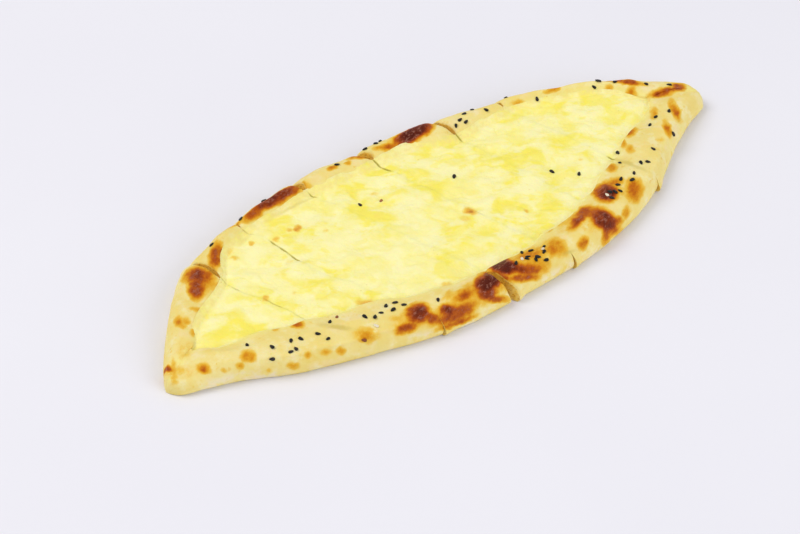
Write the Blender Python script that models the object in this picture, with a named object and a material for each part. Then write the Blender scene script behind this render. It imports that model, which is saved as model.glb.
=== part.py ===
"""Boat-shaped cheese flatbread, cut across into seven slices that lie together.

Each slice is a bread crust (a thin base with a folded rim on both long sides) and the
melted cheese that fills the pocket between the rims. Black seeds lie baked onto both.
X runs along the boat, Y across it and Z up. The bread rests on Z = 0.
All sizes are in millimetres until a mesh is written, which is in metres.
"""
import math

import bmesh
import bpy
import numpy as np
from mathutils import Matrix, Vector
from mathutils.bvhtree import BVHTree

MM = 0.001
TAU = 2.0 * math.pi

# Ends of the boat along X, and the middle of its footprint, where the origin lies
LEFT_TIP = -199.5
RIGHT_TIP = 205.6
MIDDLE_X = 0.5 * (LEFT_TIP + RIGHT_TIP)
MIDDLE_Y = -0.26

# Outer foot of the bread, as (x, y) on the far side and on the near side
FAR_FOOT = (
    (-199.5, -10.5), (-198.6, -7.5), (-195.5, -4.5), (-188.0, 5.5), (-176.0, 20.0),
    (-157.0, 40.5), (-140.0, 54.5), (-120.0, 62.0), (-98.0, 68.5), (-73.0, 73.5),
    (-42.0, 77.5), (-12.0, 76.5), (30.0, 73.5), (60.0, 68.0), (98.0, 60.0),
    (121.0, 51.0), (148.0, 42.0), (166.0, 31.0), (180.0, 19.5), (192.0, 13.0),
    (200.5, 7.0), (204.4, 1.5), (205.6, -4.6),
)
NEAR_FOOT = (
    (-199.5, -16.0), (-198.6, -19.0), (-195.0, -21.5), (-183.0, -26.0), (-164.0, -33.0),
    (-135.0, -48.0), (-114.0, -55.5), (-91.0, -63.0), (-60.0, -72.0), (-30.0, -76.5),
    (12.0, -77.0), (45.0, -76.5), (84.0, -70.0), (108.0, -62.5), (128.0, -53.0),
    (159.0, -34.5), (183.0, -22.5), (195.5, -17.8), (202.0, -15.0), (204.7, -12.0),
    (205.6, -8.2),
)

# Where the folded rim ends and the cheese begins
POCKET_START = -174.0
POCKET_END = 170.5
FAR_POCKET = (
    (-174.0, -2.5), (-167.0, 5.0), (-152.0, 15.0), (-133.0, 26.0), (-119.0, 44.0),
    (-107.0, 52.5), (-92.0, 57.5), (-48.0, 61.0), (-12.0, 57.5), (22.0, 58.0),
    (56.0, 46.0), (80.0, 47.0), (101.0, 48.0), (127.0, 39.5), (151.0, 29.0),
    (164.0, 16.0), (170.5, 6.0),
)
NEAR_POCKET = (
    (-174.0, -6.0), (-164.0, -13.0), (-138.0, -18.0), (-117.0, -25.0), (-92.0, -33.0),
    (-74.0, -37.0), (-56.0, -47.0), (-19.0, -53.5), (15.0, -55.5), (40.0, -52.0),
    (62.0, -48.0), (80.0, -42.0), (98.0, -33.0), (116.0, -26.0), (134.0, -15.0),
    (152.0, -10.0), (165.0, -4.0), (170.5, 1.0),
)

# Heights above the table
BASE_THICKNESS = 4.8
NEAR_RIM_HEIGHT = 15.0
FAR_RIM_HEIGHT = 15.5
FLAP_EDGE_HEIGHT = 12.2
CHEESE_HEIGHT = 10.3
CHEESE_CROWN = 1.2
LEFT_TIP_SHARE = 0.62
RIGHT_TIP_SHARE = 0.66
TIP_REACH = 30.0
NOSE_HEIGHT_SHARE = 0.45
NOSE_REACH = 4.0
CLOSING_REACH = 14.0
SEAM_OFFSET = 2.0
SEAM_HALF = 0.5
SEAM_LEVEL = 13.7
FLAP_ROUNDING = 2.0
FLAP_RISE = 0.5
FLAP_FALL = 0.7
NARROW_RIM = 14.0
UNDER_OFFSET = 2.0

# Cuts across the boat: (y, x) along each, from the near side to the far side
CUTS = (
    ((-62.0, -93.0), (-46.0, -101.5), (-30.0, -110.5), (-10.0, -117.0), (4.0, -121.5),
     (16.0, -127.5), (30.0, -130.0), (44.0, -132.5), (56.0, -138.5)),
    ((-76.0, -54.5), (-66.0, -57.5), (-56.0, -60.0), (-20.0, -73.5), (12.0, -86.0),
     (30.0, -88.2), (42.0, -89.0), (56.0, -94.5), (68.0, -99.5)),
    ((-78.0, -7.0), (-68.0, -10.5), (-56.0, -10.8), (-30.0, -18.0), (0.0, -27.5),
     (30.0, -36.0), (58.0, -44.5), (68.0, -47.0), (77.0, -51.0)),
    ((-77.0, 38.0), (-68.0, 35.0), (-56.0, 31.0), (-26.0, 22.0), (10.0, 13.5),
     (40.0, 6.0), (51.0, 3.5), (61.0, 2.0), (72.0, -2.5)),
    ((-70.0, 82.0), (-60.0, 77.5), (-51.0, 74.5), (-10.0, 66.5), (30.0, 59.0),
     (45.0, 56.0), (54.0, 55.5), (62.0, 53.5), (68.0, 50.5)),
    ((-60.0, 124.0), (-50.0, 120.8), (-27.0, 115.0), (-14.0, 112.0), (20.0, 104.0),
     (44.0, 98.0), (52.0, 95.0), (60.0, 91.5)),
)

# How far the rims gape at each cut, far and near, and how much rim the knife dragged out
# at the foot, far and near
GAPES = ((3.0, 0.0), (2.6, 0.4), (6.2, 5.0), (7.0, 0.6), (3.6, 0.0), (3.0, 0.4))
DRAGS = ((2.0, 0.0), (1.5, 1.6), (3.0, 2.2), (3.5, 1.6), (2.5, 0.0), (2.0, 2.4))
CUT_GAP = 0.5
GAPE_REACH = 8.0
FOOT_GAPE_SHARE = 0.15
SLICE_WIDTH = 45.0
DRAG_REACH = 5.0
DRAG_LEVEL = 0.9
SLUMP = 0.08
SLUMP_REACH = 5.0
SLUMP_GAPE = 6.0
PIECE_GAP = 0.35

# Blisters raised by the oven: x, y, half length, half width, height
BLISTERS = (
    (-148.0, 31.0, 10.0, 12.0, 1.3), (-122.0, 47.0, 6.0, 11.0, 1.2),
    (-73.0, 66.0, 24.0, 6.0, 1.4), (33.0, 66.0, 19.0, 6.0, 1.8),
    (-66.0, -63.0, 14.0, 10.0, 1.5), (-38.0, -66.0, 15.0, 8.0, 1.6),
    (-17.0, -67.0, 9.0, 10.0, 1.6), (3.0, -63.0, 10.0, 8.0, 1.8),
    (24.0, -67.0, 13.0, 7.0, 1.0), (57.0, -57.0, 8.0, 7.0, 1.0),
    (67.0, -68.0, 9.0, 9.0, 1.5), (88.0, -48.0, 8.0, 7.0, 1.2),
    (187.0, -3.0, 8.0, 8.0, 1.0), (170.0, 21.0, 8.0, 6.0, 0.8),
)
RIM_LUMP = 0.7
RIM_LUMP_LENGTH = 34.0
CHEESE_LUMP = 0.7
CHEESE_LUMP_LENGTH = 26.0

# How finely the slices are divided
MIDDLE_STATIONS = 9
TIP_STATIONS = 7
END_STATIONS = 12
END_CROWDING = 1.25
CROSSING_STEPS = 12
PIT_WALL = 0.7
CHEESE_COLUMNS = 14

# Seeds: x, y, spread along, spread across, count
SEED_GROUPS = (
    (-140.0, -33.0, 13.0, 7.0, 6), (-122.0, -42.0, 9.0, 4.0, 4), (-103.5, -36.5, 4.0, 1.5, 2),
    (-78.0, -47.5, 12.0, 3.0, 8), (-91.0, -53.5, 4.0, 2.0, 2), (-48.0, -60.0, 0.0, 0.0, 1),
    (17.0, -64.0, 10.0, 5.0, 12), (92.0, -51.0, 7.0, 5.0, 7), (108.0, -47.0, 4.0, 3.0, 3),
    (123.0, -38.0, 5.0, 8.0, 4), (138.0, -36.0, 0.0, 0.0, 1), (156.0, -33.0, 0.0, 0.0, 1),
    (157.0, -17.0, 7.0, 3.0, 3), (188.0, 3.0, 0.0, 0.0, 1), (177.0, 11.0, 2.0, 2.0, 1),
    (163.0, 25.5, 1.0, 1.0, 1), (154.0, 34.0, 4.0, 3.0, 3), (115.0, 47.0, 1.0, 1.0, 1),
    (101.0, 54.0, 1.0, 1.0, 1), (70.0, 55.0, 10.0, 5.0, 7), (11.0, 67.0, 6.0, 2.0, 3),
    (-20.0, 67.0, 1.0, 1.0, 1), (-72.0, 69.0, 0.0, 0.0, 1), (-93.0, 64.0, 0.0, 0.0, 1),
    (-118.0, 54.0, 1.0, 1.0, 1), (-29.0, 34.0, 0.0, 0.0, 1), (30.0, 20.0, 0.0, 0.0, 1),
    (82.0, -17.0, 7.0, 7.0, 2), (-6.0, -14.0, 0.0, 0.0, 1),
)
SEED_LENGTH = 3.4
SEED_WIDTH = 2.1
SEED_THICKNESS = 1.3
SEED_SIDES = 5
SEED_RINGS = 4
SEED_SPACING = 3.0
SEED_CLEARANCE = 2.6
SEED_SINK = 0.35
SEED_SIZES = (0.88, 1.1)
SEED_TRIES = 60
SEED_DRAW = 11

CRUST_COLOUR = (0.80, 0.63, 0.36, 1.0)
CHEESE_COLOUR = (0.90, 0.78, 0.33, 1.0)
CRUST_ROUGHNESS = 0.75
CHEESE_ROUGHNESS = 0.42


def ease(start, end, value):
    """Smooth step from 0 at start to 1 at end."""
    share = np.clip((value - start) / (end - start), 0.0, 1.0)
    return share * share * (3.0 - 2.0 * share)


def through(points, x):
    """Smooth curve through hand-placed points that never overshoots them."""
    px, py = np.array(points).T
    step = np.diff(px)
    rise = np.diff(py) / step
    slope = np.zeros_like(px)
    slope[0], slope[-1] = rise[0], rise[-1]
    for k in range(1, len(px) - 1):
        if rise[k - 1] * rise[k] > 0.0:
            slope[k] = 2.0 * rise[k - 1] * rise[k] / (rise[k - 1] + rise[k])
    x = np.clip(x, px[0], px[-1])
    k = np.clip(np.searchsorted(px, x) - 1, 0, len(step) - 1)
    t = (x - px[k]) / step[k]
    start = (1.0 + 2.0 * t) * (1.0 - t) ** 2 * py[k] + t * (1.0 - t) ** 2 * step[k] * slope[k]
    return start + t * t * (3.0 - 2.0 * t) * py[k + 1] + t * t * (t - 1.0) * step[k] * slope[k + 1]


def lumps(x, y, length, draw):
    """Uneven ground, about -1 to 1, from waves of several directions."""
    rng = np.random.default_rng(draw)
    total = 0.0
    waves = 7
    for _ in range(waves):
        angle = rng.uniform(0.0, TAU)
        size = length * rng.uniform(0.6, 1.5)
        phase = rng.uniform(0.0, TAU)
        total = total + np.sin((x * math.cos(angle) + y * math.sin(angle)) * TAU / size + phase)
    return total * 1.8 / waves


def cut_line(cut, y):
    """X of a cut at y."""
    return through(CUTS[cut], y)


def on_cut(cut, line):
    """Y where a long line of the boat crosses a cut."""
    y = 0.0
    for _ in range(CROSSING_STEPS):
        y = float(through(line, cut_line(cut, y)))
    return y


# Y of the cheese's near and far edge at each cut
CUT_MARKS = [
    (on_cut(cut, NEAR_POCKET), on_cut(cut, FAR_POCKET)) for cut in range(len(CUTS))
]


def half_gap(cut, y, z):
    """Half the width of a cut: closed in the cheese, gaping out through both rims."""
    near_pocket, far_pocket = CUT_MARKS[cut]
    gape_far, gape_near = GAPES[cut]
    far = ease(0.0, GAPE_REACH, y - far_pocket) * gape_far
    near = ease(0.0, GAPE_REACH, near_pocket - y) * gape_near
    opened = FOOT_GAPE_SHARE + (1.0 - FOOT_GAPE_SHARE) * np.clip(z / FAR_RIM_HEIGHT, 0.0, 1.0)
    return 0.5 * (CUT_GAP + (far + near) * opened)


def place(piece, share, y, z):
    """X of a point that lies at a share of the way across a slice."""
    first = LEFT_TIP if piece == 0 else cut_line(piece - 1, y) + half_gap(piece - 1, y, z)
    last = RIGHT_TIP if piece == len(CUTS) else cut_line(piece, y) - half_gap(piece, y, z)
    return first + share * (last - first)


def across(piece, share, line, z):
    """Y where a long line of the boat crosses a slice's station."""
    y = 0.0
    for _ in range(CROSSING_STEPS):
        y = through(line, place(piece, share, y, z))
    return float(y)


def drag(piece, share, far):
    """How far the knife dragged the foot outwards at this station."""
    if far and piece < len(CUTS):
        return DRAGS[piece][0] * math.exp(-((1.0 - share) * SLICE_WIDTH / DRAG_REACH) ** 2)
    if not far and piece > 0:
        return DRAGS[piece - 1][1] * math.exp(-(share * SLICE_WIDTH / DRAG_REACH) ** 2)
    return 0.0


def slump(x, y):
    """Height share left in the rim next to a gaping cut."""
    left = 1.0
    for cut in range(len(CUTS)):
        gape = GAPES[cut][0] if y > 0.0 else GAPES[cut][1]
        depth = SLUMP * min(1.0, gape / SLUMP_GAPE)
        left = left - depth * np.exp(-((x - cut_line(cut, y)) / SLUMP_REACH) ** 2)
    return left


def tip_share(x):
    """Height share near the two ends, which are thinner and rounded."""
    to_tip = np.minimum(x - LEFT_TIP, RIGHT_TIP - x)
    low = np.where(x < MIDDLE_X, LEFT_TIP_SHARE, RIGHT_TIP_SHARE)
    thin = low + (1.0 - low) * ease(0.0, TIP_REACH, to_tip)
    nose = np.clip(1.0 - to_tip / NOSE_REACH, 0.0, 1.0)
    return thin * (NOSE_HEIGHT_SHARE + (1.0 - NOSE_HEIGHT_SHARE) * np.sqrt(1.0 - nose * nose))


def blisters(x, y):
    """Height of the raised blisters."""
    total = 0.0
    for bx, by, half_x, half_y, height in BLISTERS:
        far = ((x - bx) / half_x) ** 2 + ((y - by) / half_y) ** 2
        total = total + height * np.clip(1.0 - far, 0.0, 1.0) ** 1.5
    return total


def crust_height(x, y, smooth):
    """A rim's upper surface: the smooth height with its unevenness."""
    uneven = RIM_LUMP * lumps(x, y, RIM_LUMP_LENGTH, 3) + blisters(x, y)
    return (smooth + uneven) * tip_share(x) * slump(x, y)


def cheese_height(x, y, share):
    """The cheese's upper surface, crowned between the rims."""
    crown = CHEESE_CROWN * (1.0 - (2.0 * share - 1.0) ** 2)
    return CHEESE_HEIGHT + crown + CHEESE_LUMP * lumps(x, y, CHEESE_LUMP_LENGTH, 5)


# A rim's outer side as (millimetres in from the foot, share of its height)
SIDE = ((2.2, 0.0), (0.5, 0.12), (0.0, 0.31), (0.9, 0.55), (2.8, 0.77), (5.6, 0.93))

# A rim's top as (share of its width, share of its height)
CREST = ((0.50, 1.0), (0.74, 0.93))


def rim(piece, share, foot, pocket, height, outwards, closed):
    """One rim's points from its foot over the crest to the pocket's floor, and one below.

    Beyond the pocket's ends, closed is how far the two rims have grown into one.
    """
    width = abs(pocket - foot)
    turn = min(1.0, width / NARROW_RIM)
    pulled = drag(piece, share, outwards > 0.0)
    points = []
    for inset, level in SIDE:
        pull = pulled * max(0.0, 1.0 - level / DRAG_LEVEL)
        points.append((foot - outwards * (inset * turn - pull), level * height))
    for part, level in CREST:
        points.append((foot - outwards * part * width, level * height))
    flap = FLAP_EDGE_HEIGHT + closed * (SEAM_LEVEL - FLAP_EDGE_HEIGHT)
    points.append((pocket + outwards * min(FLAP_ROUNDING, 0.12 * width), flap + FLAP_RISE))
    points.append((pocket, flap - FLAP_FALL * (1.0 - 0.5 * closed)))
    result = []
    for y, z in points:
        x = float(place(piece, share, y, z))
        if z < 0.5 * height:
            z = z * float(tip_share(x))
        else:
            z = float(crust_height(x, y, z))
        result.append((float(place(piece, share, y, z)), y, z))
    if closed > 0.0:
        result.append(result[-1])
    else:
        floor = BASE_THICKNESS
        result.append((float(place(piece, share, pocket, floor)), pocket, floor))
    y = pocket + outwards * min(UNDER_OFFSET, 0.3 * width)
    return result, (float(place(piece, share, y, 0.0)), y, 0.0)


def stations(piece):
    """Shares across a slice, closer together at a tip and at the pocket's end."""
    last = len(CUTS)
    if piece not in (0, last):
        return [k / MIDDLE_STATIONS for k in range(MIDDLE_STATIONS + 1)]
    tip, end = (LEFT_TIP, POCKET_START) if piece == 0 else (RIGHT_TIP, POCKET_END)
    line = FAR_POCKET[0] if piece == 0 else FAR_POCKET[-1]
    length = abs(float(cut_line(0 if piece == 0 else last - 1, line[1])) - tip)
    pocket = abs(end - tip) / length
    wall = pocket - PIT_WALL / length
    spread = [wall * (k / TIP_STATIONS) ** END_CROWDING for k in range(TIP_STATIONS + 1)]
    for k in range(END_STATIONS + 1):
        spread.append(pocket + (1.0 - pocket) * (k / END_STATIONS) ** END_CROWDING)
    return spread if piece == 0 else [1.0 - share for share in reversed(spread)]


def pocket_at(piece, share):
    """Near and far side of the pocket at a station, or None beyond its ends."""
    near = across(piece, share, NEAR_POCKET, FLAP_EDGE_HEIGHT)
    far = across(piece, share, FAR_POCKET, FLAP_EDGE_HEIGHT)
    x_near = float(place(piece, share, near, FLAP_EDGE_HEIGHT))
    x_far = float(place(piece, share, far, FLAP_EDGE_HEIGHT))
    middle = 0.5 * (x_near + x_far)
    if middle < POCKET_START - 0.5 * PIT_WALL or middle > POCKET_END + 0.5 * PIT_WALL:
        return None
    return near, far


def crust_loop(piece, share):
    """The closed outline of a slice's crust at one station."""
    near_foot = across(piece, share, NEAR_FOOT, 0.0)
    far_foot = across(piece, share, FAR_FOOT, 0.0)
    pocket = pocket_at(piece, share)
    closed = 0.0
    if pocket is None:
        middle = 0.5 * (near_foot + far_foot)
        x = float(place(piece, share, middle, 0.0))
        end = FAR_POCKET[0] if piece == 0 else FAR_POCKET[-1]
        grown = float(ease(0.0, CLOSING_REACH, abs(x - end[0])))
        closed = 0.05 + 0.95 * grown
        seam = end[1] - SEAM_OFFSET + grown * (middle - end[1] + SEAM_OFFSET)
        pocket = (seam - SEAM_HALF, seam + SEAM_HALF)
    near, far = pocket
    near_side, under_near = rim(piece, share, near_foot, near, NEAR_RIM_HEIGHT, -1.0, closed)
    far_side, under_far = rim(piece, share, far_foot, far, FAR_RIM_HEIGHT, 1.0, closed)
    return near_side + far_side[::-1] + [under_far, under_near]


def crust_end(row):
    """Triangles that close a crust's end, laid out alike on both sides of a cut."""
    half = len(row) // 2 - 1
    near, far = row[:half], row[half:2 * half][::-1]
    under_far, under_near = row[2 * half:]
    faces = [(under_near, a, b) for a, b in zip(near, near[1:])]
    faces += [(under_far, a, b) for a, b in zip(far, far[1:])]
    return faces + [(under_near, near[-1], far[-1]), (under_near, far[-1], under_far)]


def clear_of_ends(x):
    """X kept off the walls at the pocket's two ends."""
    return min(max(x, POCKET_START + 2.0 * PIECE_GAP), POCKET_END - 2.0 * PIECE_GAP)


def cheese_loop(piece, share):
    """The closed outline of a slice's cheese at one station, or None beyond its ends."""
    pocket = pocket_at(piece, share)
    if pocket is None:
        return None
    near, far = pocket[0] + PIECE_GAP, pocket[1] - PIECE_GAP
    bottom = BASE_THICKNESS + PIECE_GAP
    points = []
    for column in range(CHEESE_COLUMNS):
        part = column / (CHEESE_COLUMNS - 1)
        y = near + part * (far - near)
        x = clear_of_ends(float(place(piece, share, y, CHEESE_HEIGHT)))
        points.append((x, y, float(cheese_height(x, y, part))))
    for y in (far, near):
        points.append((clear_of_ends(float(place(piece, share, y, bottom))), y, bottom))
    return points


def cheese_end(row):
    """Triangles that close a slice of cheese, laid out alike on both sides of a cut."""
    top = row[:CHEESE_COLUMNS]
    under_far, under_near = row[CHEESE_COLUMNS:]
    middle = CHEESE_COLUMNS // 2
    faces = [(under_near, a, b) for a, b in zip(top[:middle], top[1:middle + 1])]
    faces += [(under_far, a, b) for a, b in zip(top[middle:], top[middle + 1:])]
    return faces + [(under_near, top[middle], under_far)]


def in_metres(x, y, z):
    """A point in metres from the middle of the footprint."""
    return Vector((x - MIDDLE_X, y - MIDDLE_Y, z)) * MM


def new_material(name, colour, roughness):
    material = bpy.data.materials.new(name)
    material.use_nodes = True
    shader = material.node_tree.nodes["Principled BSDF"]
    shader.inputs["Base Color"].default_value = colour
    shader.inputs["Roughness"].default_value = roughness
    shader.inputs["Metallic"].default_value = 0.0
    return material


def loft(name, loops, end, material):
    """A closed body through loops that have the same number of points."""
    model = bmesh.new()
    rows = [[model.verts.new(in_metres(*point)) for point in loop] for loop in loops]
    count = len(rows[0])
    for row, following in zip(rows, rows[1:]):
        for k in range(count):
            model.faces.new((row[k], row[(k + 1) % count], following[(k + 1) % count], following[k]))
    for corners in end(rows[0]) + end(rows[-1]):
        model.faces.new(corners)
    bmesh.ops.remove_doubles(model, verts=model.verts, dist=1e-6)
    bmesh.ops.dissolve_degenerate(model, edges=model.edges, dist=1e-6)
    bmesh.ops.triangulate(model, faces=model.faces)
    bmesh.ops.recalc_face_normals(model, faces=model.faces)
    mesh = bpy.data.meshes.new(name)
    model.to_mesh(mesh)
    model.free()
    mesh.shade_smooth()
    mesh.set_sharp_from_angle(angle=math.radians(50.0))
    mesh.materials.append(material)
    body = bpy.data.objects.new(name, mesh)
    bpy.context.scene.collection.objects.link(body)
    return body


def seed_mesh():
    """One seed: a flat drop, narrower at one end."""
    model = bmesh.new()
    bmesh.ops.create_uvsphere(model, u_segments=SEED_SIDES, v_segments=SEED_RINGS, radius=0.5)
    turn = Matrix.Rotation(math.radians(90.0), 4, "Y")
    bmesh.ops.transform(model, matrix=turn, verts=model.verts)
    for vert in model.verts:
        taper = 1.0 - 0.5 * vert.co.x
        vert.co = Vector((
            vert.co.x * SEED_LENGTH, vert.co.y * SEED_WIDTH * taper, vert.co.z * SEED_THICKNESS
        )) * MM
    bmesh.ops.recalc_face_normals(model, faces=model.faces)
    mesh = bpy.data.meshes.new("seed")
    model.to_mesh(mesh)
    model.free()
    return mesh


def slice_of(x, y):
    """The slice a place belongs to, and its distance from the nearest cut."""
    lines = [float(cut_line(cut, y)) for cut in range(len(CUTS))]
    piece = sum(1 for line in lines if line < x)
    return piece, min(abs(x - line) for line in lines)


def seed_places():
    """Seeds drawn group by group, kept clear of the cuts and of the cheese's edge."""
    rng = np.random.default_rng(SEED_DRAW)
    kept = []
    for x0, y0, along, over, count in SEED_GROUPS:
        for _ in range(count):
            for _ in range(SEED_TRIES):
                x = x0 + along * rng.uniform(-1.0, 1.0)
                y = y0 + over * rng.uniform(-1.0, 1.0)
                turn = rng.uniform(0.0, TAU)
                size = rng.uniform(*SEED_SIZES)
                piece, to_cut = slice_of(x, y)
                gape = 0.0
                if piece < len(CUTS):
                    gape = max(gape, float(half_gap(piece, y, FAR_RIM_HEIGHT)))
                if piece > 0:
                    gape = max(gape, float(half_gap(piece - 1, y, FAR_RIM_HEIGHT)))
                near = float(through(NEAR_POCKET, x))
                far = float(through(FAR_POCKET, x))
                inside = POCKET_START < x < POCKET_END
                to_edge = min(abs(y - near), abs(y - far)) if inside else SEED_CLEARANCE
                crowded = any(math.hypot(x - a, y - b) < SEED_SPACING for a, b, *_ in kept)
                if to_cut > gape + SEED_CLEARANCE and to_edge >= SEED_CLEARANCE and not crowded:
                    on_cheese = inside and near < y < far
                    kept.append((x, y, turn, size, piece, on_cheese))
                    break
    return kept


def fuse_seeds(body, places, mesh):
    """Seat seeds on a body's upper surface and join them to it as one solid."""
    if not places:
        return
    model = bmesh.new()
    model.from_mesh(body.data)
    tree = BVHTree.FromBMesh(model)
    model.free()
    group = bpy.data.collections.new(body.name + "_seeds")
    bpy.context.scene.collection.children.link(group)
    for x, y, turn, size, _, _ in places:
        above = in_metres(x, y, 10.0 * FAR_RIM_HEIGHT)
        spot, normal, _, _ = tree.ray_cast(above, Vector((0.0, 0.0, -1.0)))
        seed = bpy.data.objects.new("seed", mesh)
        lean = normal.to_track_quat("Z", "Y").to_matrix().to_4x4()
        lift = normal * (0.5 * SEED_THICKNESS - SEED_SINK) * MM
        seed.matrix_world = (
            Matrix.Translation(spot + lift) @ lean @ Matrix.Rotation(turn, 4, "Z") @ Matrix.Scale(size, 4)
        )
        group.objects.link(seed)
    union = body.modifiers.new("seeds", "BOOLEAN")
    union.operation = "UNION"
    union.operand_type = "COLLECTION"
    union.collection = group
    union.solver = "EXACT"
    bpy.context.view_layer.update()
    graph = bpy.context.evaluated_depsgraph_get()
    joined = bpy.data.meshes.new_from_object(body.evaluated_get(graph))
    body.modifiers.clear()
    plain = body.data
    body.data = joined
    bpy.data.meshes.remove(plain)
    joined.name = body.name
    for seed in list(group.objects):
        bpy.data.objects.remove(seed)
    bpy.data.collections.remove(group)


def build():
    for old in list(bpy.data.objects):
        bpy.data.objects.remove(old)
    crust = new_material("baked dough", CRUST_COLOUR, CRUST_ROUGHNESS)
    cheese = new_material("melted cheese", CHEESE_COLOUR, CHEESE_ROUGHNESS)
    places = seed_places()
    seed = seed_mesh()
    for piece in range(len(CUTS) + 1):
        shares = stations(piece)
        loops = [crust_loop(piece, share) for share in shares]
        bread = loft("crust_%d" % (piece + 1), loops, crust_end, crust)
        loops = [cheese_loop(piece, share) for share in shares]
        loops = [loop for loop in loops if loop]
        filling = loft("cheese_%d" % (piece + 1), loops, cheese_end, cheese)
        mine = [p for p in places if p[4] == piece]
        fuse_seeds(bread, [p for p in mine if not p[5]], seed)
        fuse_seeds(filling, [p for p in mine if p[5]], seed)
    bpy.data.meshes.remove(seed)


build()
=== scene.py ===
"""Looks of a boat-shaped cheese flatbread, cut across into slices that lie together.

X runs along the boat, Y across it and Z up. The bread rests on Z = 0.
All sizes are in millimetres until a mesh is written, which is in metres.
"""

import math

import bpy
import numpy as np
from mathutils import Matrix, Vector
from mathutils.geometry import delaunay_2d_cdt


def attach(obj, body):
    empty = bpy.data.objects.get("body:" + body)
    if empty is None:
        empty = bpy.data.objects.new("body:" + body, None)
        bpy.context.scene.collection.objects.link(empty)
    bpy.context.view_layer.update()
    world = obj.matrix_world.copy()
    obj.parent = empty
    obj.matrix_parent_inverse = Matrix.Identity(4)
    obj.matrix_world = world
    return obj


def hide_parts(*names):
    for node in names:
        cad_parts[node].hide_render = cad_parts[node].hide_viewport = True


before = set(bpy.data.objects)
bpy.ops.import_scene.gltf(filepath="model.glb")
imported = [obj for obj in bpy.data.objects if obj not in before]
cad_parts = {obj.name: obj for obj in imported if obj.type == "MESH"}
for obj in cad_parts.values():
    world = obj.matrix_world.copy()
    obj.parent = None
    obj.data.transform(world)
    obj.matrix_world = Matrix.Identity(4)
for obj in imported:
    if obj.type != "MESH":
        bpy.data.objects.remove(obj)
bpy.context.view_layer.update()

MM = 0.001
TAU = 2.0 * math.pi

# Ends of the boat along X, and the middle of its footprint, where the origin lies
LEFT_TIP = -199.5
RIGHT_TIP = 205.6
MIDDLE_X = 0.5 * (LEFT_TIP + RIGHT_TIP)
MIDDLE_Y = -0.26

# Outer foot of the bread, as (x, y) on the far side and on the near side
FAR_FOOT = (
    (-199.5, -10.5), (-198.6, -7.5), (-195.5, -4.5), (-188.0, 5.5), (-176.0, 20.0),
    (-157.0, 40.5), (-140.0, 54.5), (-120.0, 62.0), (-98.0, 68.5), (-73.0, 73.5),
    (-42.0, 77.5), (-12.0, 76.5), (30.0, 73.5), (60.0, 68.0), (98.0, 60.0),
    (121.0, 51.0), (148.0, 42.0), (166.0, 31.0), (180.0, 19.5), (192.0, 13.0),
    (200.5, 7.0), (204.4, 1.5), (205.6, -4.6),
)
NEAR_FOOT = (
    (-199.5, -16.0), (-198.6, -19.0), (-195.0, -21.5), (-183.0, -26.0), (-164.0, -33.0),
    (-135.0, -48.0), (-114.0, -55.5), (-91.0, -63.0), (-60.0, -72.0), (-30.0, -76.5),
    (12.0, -77.0), (45.0, -76.5), (84.0, -70.0), (108.0, -62.5), (128.0, -53.0),
    (159.0, -34.5), (183.0, -22.5), (195.5, -17.8), (202.0, -15.0), (204.7, -12.0),
    (205.6, -8.2),
)

# Edge of the cheese, run on to the tips as the seam between the two rims
POCKET_START = -174.0
POCKET_END = 170.5
FAR_POCKET = (
    (-199.5, -12.3), (-188.0, -9.0), (-178.0, -4.2),
    (-174.0, -2.5), (-167.0, 5.0), (-152.0, 15.0), (-133.0, 26.0), (-119.0, 44.0),
    (-107.0, 52.5), (-92.0, 57.5), (-48.0, 61.0), (-12.0, 57.5), (22.0, 58.0),
    (56.0, 46.0), (80.0, 47.0), (101.0, 48.0), (127.0, 39.5), (151.0, 29.0),
    (164.0, 16.0), (170.5, 6.0), (174.5, 3.4), (187.0, -1.6), (205.6, -5.9),
)
NEAR_POCKET = (
    (-199.5, -13.3), (-188.0, -10.0), (-178.0, -5.4),
    (-174.0, -6.0), (-164.0, -13.0), (-138.0, -18.0), (-117.0, -25.0), (-92.0, -33.0),
    (-74.0, -37.0), (-56.0, -47.0), (-19.0, -53.5), (15.0, -55.5), (40.0, -52.0),
    (62.0, -48.0), (80.0, -42.0), (98.0, -33.0), (116.0, -26.0), (134.0, -15.0),
    (152.0, -10.0), (165.0, -4.0), (170.5, 1.0), (174.5, 2.2), (187.0, -2.6),
    (205.6, -6.9),
)

# Heights above the table
BASE_THICKNESS = 4.8
NEAR_RIM_HEIGHT = 15.0
FAR_RIM_HEIGHT = 15.5
FLAP_EDGE_HEIGHT = 12.2
CHEESE_HEIGHT = 10.3
CHEESE_CROWN = 1.2
LEFT_TIP_SHARE = 0.62
RIGHT_TIP_SHARE = 0.66
TIP_REACH = 30.0
NOSE_HEIGHT_SHARE = 0.45
NOSE_REACH = 4.0
CLOSING_REACH = 14.0
SEAM_LEVEL = 15.2
FLAP_ROUNDING = 2.0
FLAP_RISE = 0.5
FLAP_FALL = 0.7
NARROW_RIM = 14.0

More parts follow.
